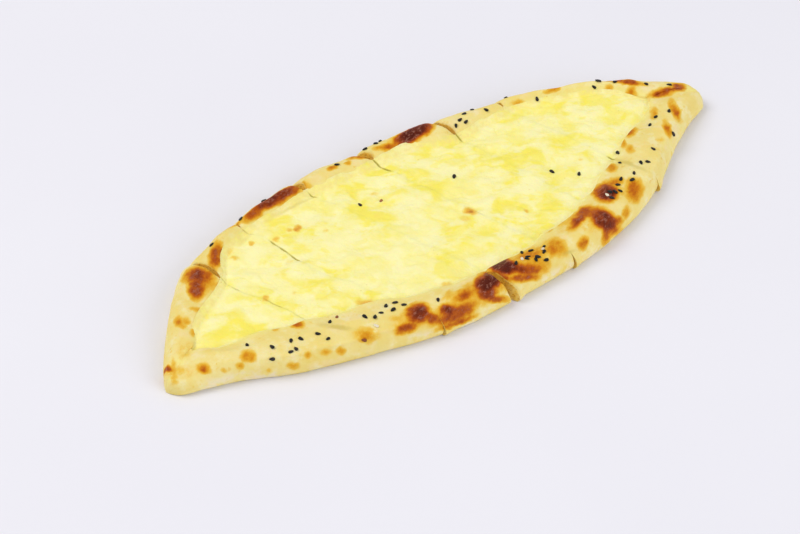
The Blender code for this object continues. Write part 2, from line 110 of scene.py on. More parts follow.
# Cuts across the boat: (y, x) along each, from the near side to the far side
CUTS = (
    ((-62.0, -93.0), (-46.0, -101.5), (-30.0, -110.5), (-10.0, -117.0), (4.0, -121.5),
     (16.0, -127.5), (30.0, -130.0), (44.0, -132.5), (56.0, -138.5)),
    ((-76.0, -54.5), (-66.0, -57.5), (-56.0, -60.0), (-20.0, -73.5), (12.0, -86.0),
     (30.0, -88.2), (42.0, -89.0), (56.0, -94.5), (68.0, -99.5)),
    ((-78.0, -7.0), (-68.0, -10.5), (-56.0, -10.8), (-30.0, -18.0), (0.0, -27.5),
     (30.0, -36.0), (58.0, -44.5), (68.0, -47.0), (77.0, -51.0)),
    ((-77.0, 38.0), (-68.0, 35.0), (-56.0, 31.0), (-26.0, 22.0), (10.0, 13.5),
     (40.0, 6.0), (51.0, 3.5), (61.0, 2.0), (72.0, -2.5)),
    ((-70.0, 82.0), (-60.0, 77.5), (-51.0, 74.5), (-10.0, 66.5), (30.0, 59.0),
     (45.0, 56.0), (54.0, 55.5), (62.0, 53.5), (68.0, 50.5)),
    ((-60.0, 124.0), (-50.0, 120.8), (-27.0, 115.0), (-14.0, 112.0), (20.0, 104.0),
     (44.0, 98.0), (52.0, 95.0), (60.0, 91.5)),
)

# How far the rims gape at each cut, far and near, and how much rim the knife dragged out
# at the foot, far and near
GAPES = ((3.0, 0.0), (2.6, 0.0), (6.2, 4.2), (7.0, 0.0), (3.6, 0.0), (3.0, 0.0))
DRAGS = ((2.0, 0.0), (1.5, 1.6), (3.0, 2.2), (3.5, 1.6), (2.5, 0.0), (2.0, 2.4))
CUT_GAP = 0.0
GAPE_REACH = 8.0

# Cracks that open only towards the foot of the near side: width, height where it starts
FOOT_CRACKS = ((0.0, 4.0), (0.9, 6.0), (3.4, 15.0), (1.2, 12.0), (0.0, 4.0), (1.0, 6.0))
FOOT_GAPE_SHARE = 0.15
SLICE_WIDTH = 45.0
DRAG_REACH = 5.0
DRAG_LEVEL = 0.9
SLUMP = 0.08
SLUMP_REACH = 5.0
SLUMP_GAPE = 6.0

# Where a cut still shows in the cheese: cut, y from, y to, width
CRACKS = (
    (0, -40.0, 40.0, 0.12), (1, 14.0, 43.0, 0.26), (1, 50.0, 62.0, 0.14), (2, 54.0, 64.0, 0.18),
    (3, 46.0, 63.0, 0.40), (4, 42.0, 56.0, 0.30), (5, -40.0, -20.0, 0.30),
    (3, -24.0, -12.0, 0.10),
)

# Olive marks along the cuts and folds, partly smears of torn crumb and partly painted shade
# in the folds and grooves: x, y, half length, half width, turn, strength
CRUMB_SMEARS_AND_FOLD_SHADE = (
    (-104.5, -42.5, 5.2, 1.3, -47, 0.85), (-109.5, -35.5, 4.0, 0.7, -40, 0.5),
    (115.5, -38.0, 10.5, 0.9, -72, 0.65), (-59.5, 57.6, 14.0, 0.9, 3, 0.55),
    (-100.0, 52.0, 5.0, 0.9, 20, 0.45), (34.5, -75.0, 4.0, 0.8, -15, 0.55),
    (-89.0, 57.0, 3.0, 1.0, -70, 0.3), (54.0, 48.5, 4.0, 1.0, -60, 0.3),
)

# Blisters raised by the oven: x, y, half length, half width, height
BLISTERS = (
    (-148.0, 31.0, 10.0, 12.0, 1.3), (-122.0, 47.0, 6.0, 11.0, 1.2),
    (-73.0, 66.0, 24.0, 6.0, 1.4), (33.0, 66.0, 19.0, 6.0, 1.8),
    (-66.0, -63.0, 14.0, 10.0, 1.5), (-38.0, -66.0, 15.0, 8.0, 1.6),
    (-17.0, -67.0, 9.0, 10.0, 1.6), (3.0, -63.0, 10.0, 8.0, 1.8),
    (24.0, -67.0, 13.0, 7.0, 1.0), (57.0, -57.0, 8.0, 7.0, 1.0),
    (67.0, -68.0, 9.0, 9.0, 1.5), (88.0, -48.0, 8.0, 7.0, 1.2),
    (187.0, -3.0, 8.0, 8.0, 1.0), (170.0, 21.0, 8.0, 6.0, 0.8),
)
RIM_LUMP = 0.7
RIM_LUMP_LENGTH = 34.0
EDGE_WAVE = 0.7
EDGE_WAVE_LENGTH = 17.0
CHEESE_LUMP = 0.7
CHEESE_LUMP_LENGTH = 26.0

# Browned places on the crust, read in close-ups of the photo. Each close-up has its left
# and upper edge in the photo and its magnification, all in pixels, then a row for each place:
# column, row, half length, half width, turn in degrees, strength
BROWN_READINGS = (
    (380, 190, 1500 / 260, (
        (225, 712, 55, 45, -20, 0.85), (155, 795, 60, 25, -22, 0.6), (120, 745, 60, 20, 0, 0.25),
        (300, 740, 45, 30, 25, 0.6), (440, 715, 110, 42, -25, 0.64), (390, 690, 35, 30, 0, 0.72),
        (480, 612, 60, 35, -20, 0.52), (440, 768, 110, 14, -20, 0.52),
        (625, 530, 68, 42, -30, 0.97), (625, 592, 45, 32, 0, 0.82), (650, 622, 85, 20, 8, 0.58),
        (715, 440, 75, 35, 8, 0.95), (840, 460, 80, 32, 0, 0.66), (820, 508, 80, 20, -5, 0.62),
        (880, 370, 80, 24, -15, 0.42), (945, 440, 40, 40, 0, 0.32), (705, 510, 20, 18, 0, 0.7),
        (1010, 335, 48, 50, 0, 0.45), (1065, 345, 28, 34, 0, 0.3), (1175, 305, 22, 36, 8, 0.5),
        (1148, 162, 72, 26, -50, 0.62), (1205, 128, 40, 28, 0, 0.62),
        (1300, 180, 78, 48, 35, 0.82), (1310, 262, 20, 42, 0, 0.55), (1372, 180, 25, 26, 0, 0.48),
        (1425, 128, 18, 36, 10, 0.32), (1045, 185, 80, 6, -36, 0.36),
    )),
    (480, 70, 1000 / 240, (
        (528, 512, 42, 28, -10, 0.85), (640, 500, 30, 42, 0, 0.55), (555, 470, 36, 16, -10, 0.42),
        (550, 408, 16, 14, 0, 0.42), (595, 305, 10, 18, 0, 0.34), (625, 330, 14, 16, 0, 0.3),
        (622, 255, 22, 16, -30, 0.5), (725, 180, 13, 22, 0, 0.28), (812, 170, 42, 14, 65, 0.5),
        (781, 245, 30, 12, 75, 0.46), (748, 290, 14, 10, 0, 0.18), (770, 88, 52, 15, -12, 0.6),
        (826, 72, 27, 14, 0, 0.65), (740, 103, 24, 10, 0, 0.48), (630, 92, 18, 18, 0, 0.44),
        (537, 72, 15, 12, 0, 0.28), (605, 50, 66, 9, 10, 0.6), (540, 35, 34, 9, 5, 0.55),
        (160, 135, 25, 12, 0, 0.28), (300, 84, 32, 7, -20, 0.34),
    )),
    (160, 230, 1000 / 270, (
        (140, 165, 46, 27, 0, 0.70), (137, 218, 25, 34, 0, 0.74), (168, 188, 32, 38, 0, 0.46),
        (208, 95, 19, 42, 8, 0.62), (228, 205, 15, 9, 15, 0.45), (255, 75, 7, 10, 0, 0.28),
        (138, 295, 24, 9, 15, 0.3), (68, 338, 14, 18, 10, 0.38), (100, 338, 12, 10, 0, 0.28),
        (84, 358, 10, 9, 0, 0.28), (122, 383, 9, 12, 0, 0.28), (325, 465, 24, 20, 0, 0.42),
        (160, 515, 20, 16, 0, 0.46), (235, 518, 9, 10, 0, 0.25), (292, 503, 12, 11, 0, 0.32),
        (508, 348, 18, 12, 0, 0.5), (427, 365, 14, 7, 0, 0.28), (545, 462, 10, 12, 0, 0.28),
        (490, 505, 16, 13, 0, 0.34), (612, 455, 20, 14, 0, 0.24), (668, 448, 14, 14, 0, 0.34),
        (398, 525, 9, 7, 0, 0.2), (765, 390, 38, 26, 0, 0.36), (750, 405, 14, 12, 0, 0.45),
        (48, 530, 9, 48, 0, 0.26), (22, 512, 28, 8, 25, 0.6),
    )),
    (190, 100, 1000 / 250, (
        (345, 393, 92, 20, -28, 0.80), (255, 455, 42, 18, -35, 0.6),
        (330, 418, 100, 10, -28, 0.48), (895, 130, 66, 26, -32, 0.97), (955, 102, 22, 18, 0, 0.5),
        (800, 185, 56, 10, -12, 0.5), (570, 272, 16, 9, -20, 0.45), (636, 252, 10, 9, 0, 0.4),
        (675, 226, 46, 9, -5, 0.44), (440, 342, 40, 14, 10, 0.4), (185, 492, 36, 8, -25, 0.34),
    )),
)

# Golden stretches between them: x, y, half length, half width, turn in degrees, strength
GOLDEN = (
    (-66.0, -64.0, 15.0, 7.0, -12, 0.22), (-46.0, -72.0, 20.0, 7.0, -3, 0.31),
    (-30.0, -66.0, 12.0, 6.0, 5, 0.30), (-16.0, -69.0, 16.0, 8.0, 8, 0.30),
    (6.0, -67.0, 15.0, 8.0, -12, 0.31), (22.0, -65.0, 12.0, 6.0, 0, 0.27),
    (-42.0, -60.0, 5.0, 2.5, 10, 0.26), (14.0, -60.0, 9.0, 3.0, -10, 0.27),
    (66.0, -62.0, 13.0, 9.0, 35, 0.19), (92.0, -51.0, 13.0, 7.0, 25, 0.17),
    (50.0, -55.0, 9.0, 3.0, 15, 0.16), (-140.0, 37.0, 14.0, 8.0, 55, 0.17),
    (-66.0, 66.0, 24.0, 4.5, 3, 0.22), (32.0, 66.0, 20.0, 4.5, 5, 0.22),
    (-193.0, -16.0, 12.0, 5.0, -30, 0.15), (-180.0, -4.0, 9.0, 5.0, 50, 0.12),
)

# Toasted places on the cheese: readings like those above, and a few placed on the bread
TOAST_READINGS = (
    (190, 100, 1000 / 250, (
        (433, 512, 10, 12, 0, 0.45), (400, 520, 12, 7, 0, 0.3), (345, 552, 10, 10, 0, 0.3),
        (540, 525, 10, 6, 0, 0.24), (248, 568, 7, 10, 0, 0.34), (180, 632, 16, 8, 0, 0.25),
        (735, 370, 20, 8, 0, 0.2),
    )),
    (160, 230, 1000 / 270, (
        (770, 262, 36, 11, 5, 0.34),
    )),
    (380, 190, 1500 / 260, (
        (525, 120, 34, 18, 10, 0.42), (490, 165, 34, 14, 10, 0.22), (842, 112, 10, 8, 0, 0.34),
        (390, 548, 40, 18, -20, 0.3), (395, 232, 18, 8, 0, 0.14),
    )),
)
MORE_TOAST = (
    (-121.0, 3.0, 1.6, 1.1, 20, 0.40), (-105.5, -2.5, 1.8, 1.2, 0, 0.22),
    (-112.0, 49.0, 3.0, 1.2, 30, 0.24), (-27.5, 19.0, 5.0, 5.0, 0, 0.12),
    (-92.0, 20.0, 3.0, 2.0, 0, 0.14), (60.0, 8.0, 2.0, 1.4, 0, 0.14),
    (98.0, -15.0, 1.6, 1.2, 0, 0.20),
)

# Deeper yellow places in the cheese: x, y, half length, half width, turn, strength
LEMON = (
    (-28.0, 20.0, 9.0, 12.0, 0, 0.9), (12.0, 12.0, 14.0, 7.0, 10, 0.7),
    (-22.0, 34.0, 12.0, 6.0, 0, 0.5), (76.0, 14.0, 18.0, 6.0, 4, 0.8),
    (100.0, 2.0, 14.0, 5.0, -10, 0.8), (104.0, -9.0, 8.0, 4.0, -20, 0.8),
    (116.0, 38.0, 13.0, 7.0, -10, 0.8), (126.0, 22.0, 14.0, 6.0, 30, 0.6),
    (-150.0, -7.0, 17.0, 5.0, -6, 0.8), (-132.0, 8.0, 10.0, 8.0, 0, 0.5),
    (-68.0, -34.0, 10.0, 4.0, -20, 0.8), (44.0, 48.0, 8.0, 5.0, -20, 0.8),
    (-6.0, 50.0, 14.0, 4.0, 0, 0.6), (34.0, 34.0, 12.0, 5.0, 0, 0.5),
    (-60.0, 52.0, 16.0, 3.0, 0, 0.6), (58.0, -6.0, 10.0, 5.0, 0, 0.5),
    (-100.0, 32.0, 6.0, 8.0, 20, 0.5), (-20.0, -24.0, 12.0, 4.0, 0, 0.4),
    (66.0, 40.0, 12.0, 4.0, 0, 0.6), (-48.0, 8.0, 8.0, 7.0, 0, 0.5),
)

# Seeds as read in the photo, in its pixels: black ones, pale ones and toasted flecks
BLACK_SEEDS = (
    (247, 345), (272, 347), (272, 359), (291, 341), (291, 352), (296, 349), (301, 339),
    (318, 334), (328, 339), (330, 322), (365, 317), (375, 317), (381, 313),
    (386, 306), (393, 310), (395, 303), (404, 305), (438, 300), (516, 263), (522, 253),
    (531, 251), (544, 247), (544, 252), (527, 259), (528, 257), (536, 260), (546, 260),
    (538, 257), (610, 192), (612, 198), (615, 192), (618, 185), (620, 191), (621, 179),
    (632, 180), (634, 173), (618, 153), (620, 163), (641, 163), (648, 162), (653, 149),
    (673, 134), (650, 125), (656, 117), (669, 111), (669, 85), (646, 84), (615, 82),
    (597, 81), (599, 81), (594, 87), (537, 99), (506, 97), (486, 110), (472, 110),
    (464, 114), (460, 120), (466, 122), (456, 126), (380, 140), (376, 143), (365, 147),
    (337, 165), (264, 198), (241, 219), (212, 245), (360, 205), (454, 177), (552, 172),
    (579, 174),
)
PALE_SEEDS = ((522, 259), (543, 249), (607, 195), (376, 326))
FLECKS = ((381, 201), (337, 317), (364, 340))
SEED_LENGTH = 3.3
SEED_WIDTH = 1.95
SEED_THICKNESS = 1.25
SEED_SINK = 0.3

# The camera stands where the photographer stood: place in metres, turn about Z, rise above the
# table and roll in degrees, lens and sensor in millimetres
CAMERA_PLACE = (-0.6728, -0.7870, 0.8739)
CAMERA_TURN = -39.21
CAMERA_RISE = 41.16
CAMERA_ROLL = 0.18
CAMERA_LENS = 105.09
SENSOR_WIDTH = 36.0
PHOTO_WIDTH = 800
PHOTO_HEIGHT = 534


def ease(start, end, value):
    """Smooth step from 0 at start to 1 at end."""
    share = np.clip((value - start) / (end - start), 0.0, 1.0)
    return share * share * (3.0 - 2.0 * share)


def camera_axes():
    """Right, up and back of the camera."""
    turn, rise, roll = (math.radians(angle) for angle in (CAMERA_TURN, CAMERA_RISE, CAMERA_ROLL))
    flat_back = math.cos(rise)
    back = np.array([math.sin(turn) * flat_back, -math.cos(turn) * flat_back, math.sin(rise)])
    level = np.array([math.cos(turn), math.sin(turn), 0.0])
    above = np.cross(back, level)
    right = level * math.cos(roll) + above * math.sin(roll)
    up = above * math.cos(roll) - level * math.sin(roll)
    return right, up, back


def sight(column, row):
    """The direction in which the camera sees a pixel of the photo."""
    right, up, back = camera_axes()
    focal = CAMERA_LENS / SENSOR_WIDTH * PHOTO_WIDTH
    aside = (column - 0.5 * PHOTO_WIDTH) / focal
    above = (0.5 * PHOTO_HEIGHT - row) / focal
    return aside * right + above * up - back


def on_bread(column, row, height):
    """The place on the bread, at a height, that shows at a pixel of the photo."""
    ray = sight(column, row)
    start = np.array(CAMERA_PLACE) / MM + np.array([MIDDLE_X, MIDDLE_Y, 0.0])
    return (start + ray * (height - start[2]) / ray[2])[:2]


def spots_on_bread(close_ups, height):
    """Spots read in close-ups, as x, y, half length, half width, turn and strength."""
    spots = []
    for left, upper, zoom, readings in close_ups:
        for column, row, along, over, turn, strength in readings:
            c, s = math.cos(math.radians(turn)), math.sin(math.radians(turn))
            column, row = left + column / zoom, upper + row / zoom
            middle = on_bread(column, row, height)
            end = on_bread(column + along * c / zoom, row + along * s / zoom, height)
            side = on_bread(column - over * s / zoom, row + over * c / zoom, height)
            axes, reach, _ = np.linalg.svd(np.stack([end - middle, side - middle], axis=1))
            lean = math.degrees(math.atan2(axes[1, 0], axes[0, 0]))
            spots.append((middle[0], middle[1], reach[0], reach[1], lean, strength))
    return tuple(spots)


def through(points, x):
    """Smooth curve through given points that never overshoots them."""
    px, py = np.array(points).T
    step = np.diff(px)
    rise = np.diff(py) / step
    slope = np.zeros_like(px)
    slope[0], slope[-1] = rise[0], rise[-1]
    for k in range(1, len(px) - 1):
        if rise[k - 1] * rise[k] > 0.0:
            slope[k] = 2.0 * rise[k - 1] * rise[k] / (rise[k - 1] + rise[k])
    x = np.clip(x, px[0], px[-1])
    k = np.clip(np.searchsorted(px, x) - 1, 0, len(step) - 1)
    t = (x - px[k]) / step[k]
    start = (1.0 + 2.0 * t) * (1.0 - t) ** 2 * py[k] + t * (1.0 - t) ** 2 * step[k] * slope[k]
    return start + t * t * (3.0 - 2.0 * t) * py[k + 1] + t * t * (t - 1.0) * step[k] * slope[k + 1]


def lumps(x, y, length, draw):
    """Uneven ground, about -1 to 1, from waves of several directions."""
    rng = np.random.default_rng(draw)
    total = 0.0
    waves = 7
    for _ in range(waves):
        angle = rng.uniform(0.0, TAU)
        size = length * rng.uniform(0.6, 1.5)
        phase = rng.uniform(0.0, TAU)
        total = total + np.sin((x * math.cos(angle) + y * math.sin(angle)) * TAU / size + phase)
    return total * 1.8 / waves


def lattice(i, j, k, draw):
    """A fixed random number from 0 to 1 for each whole-number place."""
    n = (i * 374761393 + j * 668265263 + k * 2147483647 + draw * 1013904223) & 0xFFFFFFFF
    n = ((n ^ (n >> 13)) * 1274126177) & 0xFFFFFFFF
    n = ((n ^ (n >> 15)) * 2246822519) & 0xFFFFFFFF
    return ((n ^ (n >> 16)) & 0xFFFFFF) / float(0xFFFFFF)


def noise(p, size, draw):
    """Smooth noise from -1 to 1, with lumps about size across. p is (..., 3)."""
    q = np.asarray(p, dtype=float) / size
    cell = np.floor(q).astype(np.int64)
    t = q - cell
    t = t * t * t * (t * (t * 6.0 - 15.0) + 10.0)
    total = 0.0
    for corner in range(8):
        a, b, c = corner & 1, (corner >> 1) & 1, (corner >> 2) & 1
        weight = (
            (t[..., 0] if a else 1.0 - t[..., 0])
            * (t[..., 1] if b else 1.0 - t[..., 1])
            * (t[..., 2] if c else 1.0 - t[..., 2])
        )
        total = total + weight * lattice(cell[..., 0] + a, cell[..., 1] + b, cell[..., 2] + c, draw)
    return 2.0 * total - 1.0


def layered(p, size, draw, layers=3):
    """Noise with finer noise on top."""
    total, weight = 0.0, 0.0
    for k in range(layers):
        part = 0.5 ** k
        total = total + part * noise(p, size * 0.48 ** k, draw + k)
        weight += part
    return total / weight


def flat(x, y, z=0.0):
    """Points as one array, for noise."""
    x, y, z = np.broadcast_arrays(x, y, z)
    return np.stack([x, y, z], axis=-1)


def patches(rows, x, y):
    """Strength of the placed patches at each place, with ragged edges and soft rims."""
    here = flat(x, y)
    warp_x = x + 1.3 * layered(here, 6.0, 21) + 0.3 * noise(here, 1.9, 24)
    warp_y = y + 1.3 * layered(here, 6.0, 31) + 0.3 * noise(here, 1.9, 34)
    total = np.zeros_like(x)
    for px, py, along, over, turn, strength in rows:
        around = 2.2 * max(along, over) + 4.0
        near = (np.abs(x - px) < around) & (np.abs(y - py) < around)
        if not near.any():
            continue
        c, s = math.cos(math.radians(turn)), math.sin(math.radians(turn))
        dx, dy = warp_x[near] - px, warp_y[near] - py
        reach = np.hypot((dx * c + dy * s) / (along + 0.6), (dy * c - dx * s) / (over + 0.6))
        value = strength * (1.0 - ease(0.75 * strength - 0.2, 1.75, reach))
        total[near] += value ** 4
    return np.minimum(total ** 0.25, 1.0)


def cut_line(cut, y):
    """X of a cut at y."""
    return through(CUTS[cut], y)


def wavy(points, x, draw):
    """A line of the boat, a little wavy along the pocket."""
    wave = EDGE_WAVE * lumps(x, 0.0 * x, EDGE_WAVE_LENGTH, draw)
    return through(points, x) + wave * ease(-172.0, -160.0, x) * ease(168.0, 158.0, x)


def far_edge(x):
    """Y of the cheese's far edge, or of the seam beyond the pocket."""
    return wavy(FAR_POCKET, x, 41)


def near_edge(x):
    """Y of the cheese's near edge, or of the seam beyond the pocket."""
    return wavy(NEAR_POCKET, x, 43)


def on_cut(cut, line):
    """Y where a long line of the boat crosses a cut."""
    y = 0.0
    for _ in range(12):
        y = float(line(cut_line(cut, y)))
    return y


# Y of the cheese's near and far edge at each cut
CUT_MARKS = [(on_cut(cut, near_edge), on_cut(cut, far_edge)) for cut in range(len(CUTS))]


def half_gap(cut, y, z):
    """Half the width of a cut: closed in the cheese, gaping out through both rims."""
    near_pocket, far_pocket = CUT_MARKS[cut]
    gape_far, gape_near = GAPES[cut]
    far = ease(0.0, GAPE_REACH, y - far_pocket) * gape_far
    near = ease(0.0, GAPE_REACH, near_pocket - y) * gape_near
    opened = FOOT_GAPE_SHARE + (1.0 - FOOT_GAPE_SHARE) * np.clip(z / FAR_RIM_HEIGHT, 0.0, 1.0)
    width, start = FOOT_CRACKS[cut]
    torn = width * ease(start, 0.45 * start, z) * ease(2.0, 10.0, near_pocket - y)
    return 0.5 * (CUT_GAP + (far + near) * opened + torn)


def place(piece, share, y, z):
    """X of a point that lies at a share of the way across a slice."""
    first = LEFT_TIP if piece == 0 else cut_line(piece - 1, y) + half_gap(piece - 1, y, z)
    last = RIGHT_TIP if piece == len(CUTS) else cut_line(piece, y) - half_gap(piece, y, z)
    return first + share * (last - first)


def across(piece, share, line, z):
    """Y where a long line of the boat crosses a slice's stations."""
    y = np.zeros_like(share)
    for _ in range(14):
        y = line(place(piece, share, y, z))
    return y


def drag(piece, share, far):
    """How far the knife dragged the foot outwards at each station."""
    if far and piece < len(CUTS):
        return DRAGS[piece][0] * np.exp(-((1.0 - share) * SLICE_WIDTH / DRAG_REACH) ** 2)
    if not far and piece > 0:
        return DRAGS[piece - 1][1] * np.exp(-(share * SLICE_WIDTH / DRAG_REACH) ** 2)
    return 0.0 * share


def slump(x, y):
    """Height share left in the rim next to a gaping cut."""
    left = 1.0
    for cut in range(len(CUTS)):
        gape = np.where(y > 0.0, GAPES[cut][0], GAPES[cut][1])
        depth = SLUMP * np.minimum(1.0, gape / SLUMP_GAPE)
        left = left - depth * np.exp(-((x - cut_line(cut, y)) / SLUMP_REACH) ** 2)
    return left


def tip_share(x):
    """Height share near the two ends, which are thinner and rounded."""
    to_tip = np.minimum(x - LEFT_TIP, RIGHT_TIP - x)
    low = np.where(x < MIDDLE_X, LEFT_TIP_SHARE, RIGHT_TIP_SHARE)
    thin = low + (1.0 - low) * ease(0.0, TIP_REACH, to_tip)
    nose = np.clip(1.0 - to_tip / NOSE_REACH, 0.0, 1.0)
    return thin * (NOSE_HEIGHT_SHARE + (1.0 - NOSE_HEIGHT_SHARE) * np.sqrt(1.0 - nose * nose))


def blisters(x, y):
    """Height of the raised blisters."""
    total = 0.0
    for bx, by, half_x, half_y, height in BLISTERS:
        far = ((x - bx) / half_x) ** 2 + ((y - by) / half_y) ** 2
        total = total + height * np.clip(1.0 - far, 0.0, 1.0) ** 1.5
    return total


def crust_height(x, y, smooth):
    """A rim's upper surface: the smooth height with its unevenness."""
    uneven = RIM_LUMP * lumps(x, y, RIM_LUMP_LENGTH, 3) + blisters(x, y)
    return (smooth + uneven) * tip_share(x) * slump(x, y)


def cheese_height(x, y, share):
    """The cheese's upper surface, crowned between the rims."""
    crown = CHEESE_CROWN * (1.0 - (2.0 * share - 1.0) ** 2)
    return CHEESE_HEIGHT + crown + CHEESE_LUMP * lumps(x, y, CHEESE_LUMP_LENGTH, 5)


# How far from its end a tip is drawn together
TIP_ROUNDING = 7.0

# A rim's outer side as (millimetres in from the foot, share of its height)
SIDE = ((2.2, 0.0), (0.5, 0.12), (0.0, 0.31), (0.9, 0.55), (2.8, 0.77), (5.6, 0.93))

# A rim's top as (share of its width, share of its height)
CREST = ((0.50, 1.0), (0.62, 0.985), (0.76, 0.92))

# Fine steps between one guide point of a rim and the next, and across the bottom
RIM_STEPS = (5, 6, 7, 6, 7, 7, 7, 7, 7, 6, 4)
FLOOR_STEPS = 6
BOTTOM_STEPS = 44

# How far the melted edge laps over the folded dough, near and far, and how thick it is
NEAR_LAP = 1.7
FAR_LAP = 3.4
LAP_THICKNESS = 0.3

# The way in which the cheese's streaks run, in radians, and its cosine and sine
STREAK_ANGLE = -0.683
STREAK_TURN = (math.cos(STREAK_ANGLE), math.sin(STREAK_ANGLE))

# The browned and the toasted places are set down as if at these heights, seen along a slope
# that goes this far in x and y for each millimetre down; outside the far rim the browned ones
# run on down the side
BROWN_LEVEL = 13.5
TOAST_LEVEL = 11.5
SIGHT_X = 0.72
SIGHT_Y = 0.88
FAR_SIDE_RUN = 0.6

# The cheese's shreds are drawn on a map of square cells
SHRED_CELL = 0.5
SHRED_LEFT, SHRED_RIGHT = -178.0, 175.0
SHRED_NEAR, SHRED_FAR = -62.0, 68.0
SHRED_COUNT = 3400
SHRED_BLURS = 4

# Rings of the cheese's side, as shares of the way down to the pocket's floor
SKIRT_LEVELS = (0.30, 0.65, 1.0)

# Stations along a slice, and the length that each slice is taken to have where the edge at its
# cut is rounded: the two end slices in millimetres, the others as a share of SLICE_WIDTH
MIDDLE_STATIONS = 104
TIP_STATIONS = 170
LEFT_END_LENGTH = 80.0
RIGHT_END_LENGTH = 90.0
MIDDLE_ALLOWANCE = 1.2


def smooth_rows(guides):
    """Curves through guide points, with the wall to the pocket's floor left straight."""
    rows = []
    last = len(guides) - 1
    for k, steps in enumerate(RIM_STEPS):
        before, a, b = guides[max(k - 1, 0)], guides[k], guides[k + 1]
        after = guides[min(k + 2, last)] if k < last - 2 else b
        for step in range(steps):
            t = step / steps
            if k == last - 1:
                rows.append(a + (b - a) * t)
                continue
            rows.append(0.5 * (
                2.0 * a + (b - before) * t
                + (2.0 * before - 5.0 * a + 4.0 * b - after) * t ** 2
                + (3.0 * a - before - 3.0 * b + after) * t ** 3
            ))
    rows.append(guides[-1])
    return np.stack(rows, axis=1)


def rim(piece, share, foot, pocket, height, outwards):
    """One rim's rows of points, from its foot over the crest to the pocket's floor."""
    width = np.abs(pocket - foot)
    turn = np.minimum(1.0, width / NARROW_RIM)
    pulled = drag(piece, share, outwards > 0.0)
    middle = place(piece, share, pocket, FLAP_EDGE_HEIGHT)
    beyond = np.maximum(POCKET_START - middle, middle - POCKET_END)
    closed = ease(0.0, CLOSING_REACH, beyond)
    guides = []
    for inset, level in SIDE:
        pull = pulled * max(0.0, 1.0 - level / DRAG_LEVEL)
        guides.append((foot - outwards * (inset * turn - pull), level * height + 0.0 * foot))
    for part, level in CREST:
        filled = level + 0.9 * closed * (1.0 - level)
        guides.append((foot - outwards * part * width, filled * height))
    flap = FLAP_EDGE_HEIGHT + closed * (SEAM_LEVEL - FLAP_EDGE_HEIGHT)
    inner = np.minimum(FLAP_ROUNDING, 0.12 * width)
    guides.append((pocket + outwards * inner, flap + FLAP_RISE * (1.0 - closed)))
    fall = flap - FLAP_FALL * (1.0 - closed)
    guides.append((pocket + 0.0 * foot, fall))
    deep = ease(2.0, -1.5, beyond)
    guides.append((pocket + 0.0 * foot, fall + deep * (BASE_THICKNESS - fall)))
    y = smooth_rows([g[0] for g in guides])
    z = smooth_rows([g[1] for g in guides])
    share = share[:, None]
    x = place(piece, share, y, z)
    upper = ease(0.30, 0.66, z / height)
    floor = np.zeros_like(z)
    floor[:, -RIM_STEPS[-1]:] = 1.0
    z = np.where(
        floor > 0.5,
        z * tip_share(x),
        z * tip_share(x) * (1.0 - upper) + crust_height(x, y, z) * upper,
    )
    return np.stack([place(piece, share, y, z), y, z], axis=-1)


def crowded(count, ends):
    """Shares from 0 to 1 that lie closer together at both ends."""
    u = np.linspace(0.0, 1.0, count)
    return u - ends * np.sin(TAU * u) / TAU


def grid_normals(p):
    """Outward directions of a closed tube of rows."""
    along = np.gradient(p, axis=0)
    around = 0.5 * (np.roll(p, -1, axis=1) - np.roll(p, 1, axis=1))
    n = np.cross(along, around)
    return n / np.maximum(np.linalg.norm(n, axis=-1, keepdims=True), 1e-9)


def inside(points, loop):
    """Which flat points lie inside a closed loop, and how far each is from it."""
    a, b = loop, np.roll(loop, -1, axis=0)
    odd = np.zeros(len(points), bool)
    nearest = np.full(len(points), 1e9)
    for (ay, az), (by, bz) in zip(a, b):
        crosses = (az > points[:, 1]) != (bz > points[:, 1])
        if bz != az:
            at = ay + (points[:, 1] - az) * (by - ay) / (bz - az)
            odd ^= crosses & (points[:, 0] < at)
        edge = np.array([by - ay, bz - az])
        size = max(float(edge @ edge), 1e-12)
        t = np.clip(((points[:, 0] - ay) * edge[0] + (points[:, 1] - az) * edge[1]) / size, 0.0, 1.0)
        away = np.hypot(points[:, 0] - ay - t * edge[0], points[:, 1] - az - t * edge[1])
        nearest = np.minimum(nearest, away)
    return odd, nearest


def cut_face(piece, share, row, into, spacing):
    """Crumb on a slice's cut face: new points, how deep each lies, and triangles."""
    loop = row[:, 1:]
    rng = np.random.default_rng(70 + piece)
    ys = np.arange(loop[:, 0].min(), loop[:, 0].max(), spacing)
    zs = np.arange(loop[:, 1].min(), loop[:, 1].max(), spacing)
    grid = np.stack(np.meshgrid(ys, zs), axis=-1).reshape(-1, 2)
    grid = grid + rng.uniform(-0.3, 0.3, grid.shape) * spacing
    odd, away = inside(grid, loop)
    keep = odd & (away > 0.45 * spacing)
    grid, away = grid[keep], away[keep]
    flat_points = [Vector(point) for point in loop.tolist() + grid.tolist()]
    count = len(loop)
    found, _, faces, origins, _, _ = delaunay_2d_cdt(
        flat_points, [], [list(range(count))], 1, 1e-6, True
    )
    names = [origin[0] if origin else -1 for origin in origins]
    x = place(piece, share, grid[:, 0], grid[:, 1])
    here = flat(0.35 * x, grid[:, 0], grid[:, 1])
    hollow = 0.30 * layered(here, 2.6, 51) + 0.42 * np.maximum(0.0, noise(here, 1.5, 55) - 0.15)
    depth = (0.18 + hollow) * ease(0.0, 1.3, away)
    new = np.stack([x + into * np.maximum(depth, 0.0), grid[:, 0], grid[:, 1]], axis=-1)
    middles = np.array([[sum(found[v][k] for v in face) / 3.0 for k in (0, 1)] for face in faces])
    within, _ = inside(middles, loop)
    triangles = [tuple(names[v] for v in face) for face, good in zip(faces, within) if good]
    return new, away, [t for t in triangles if min(t) >= 0]


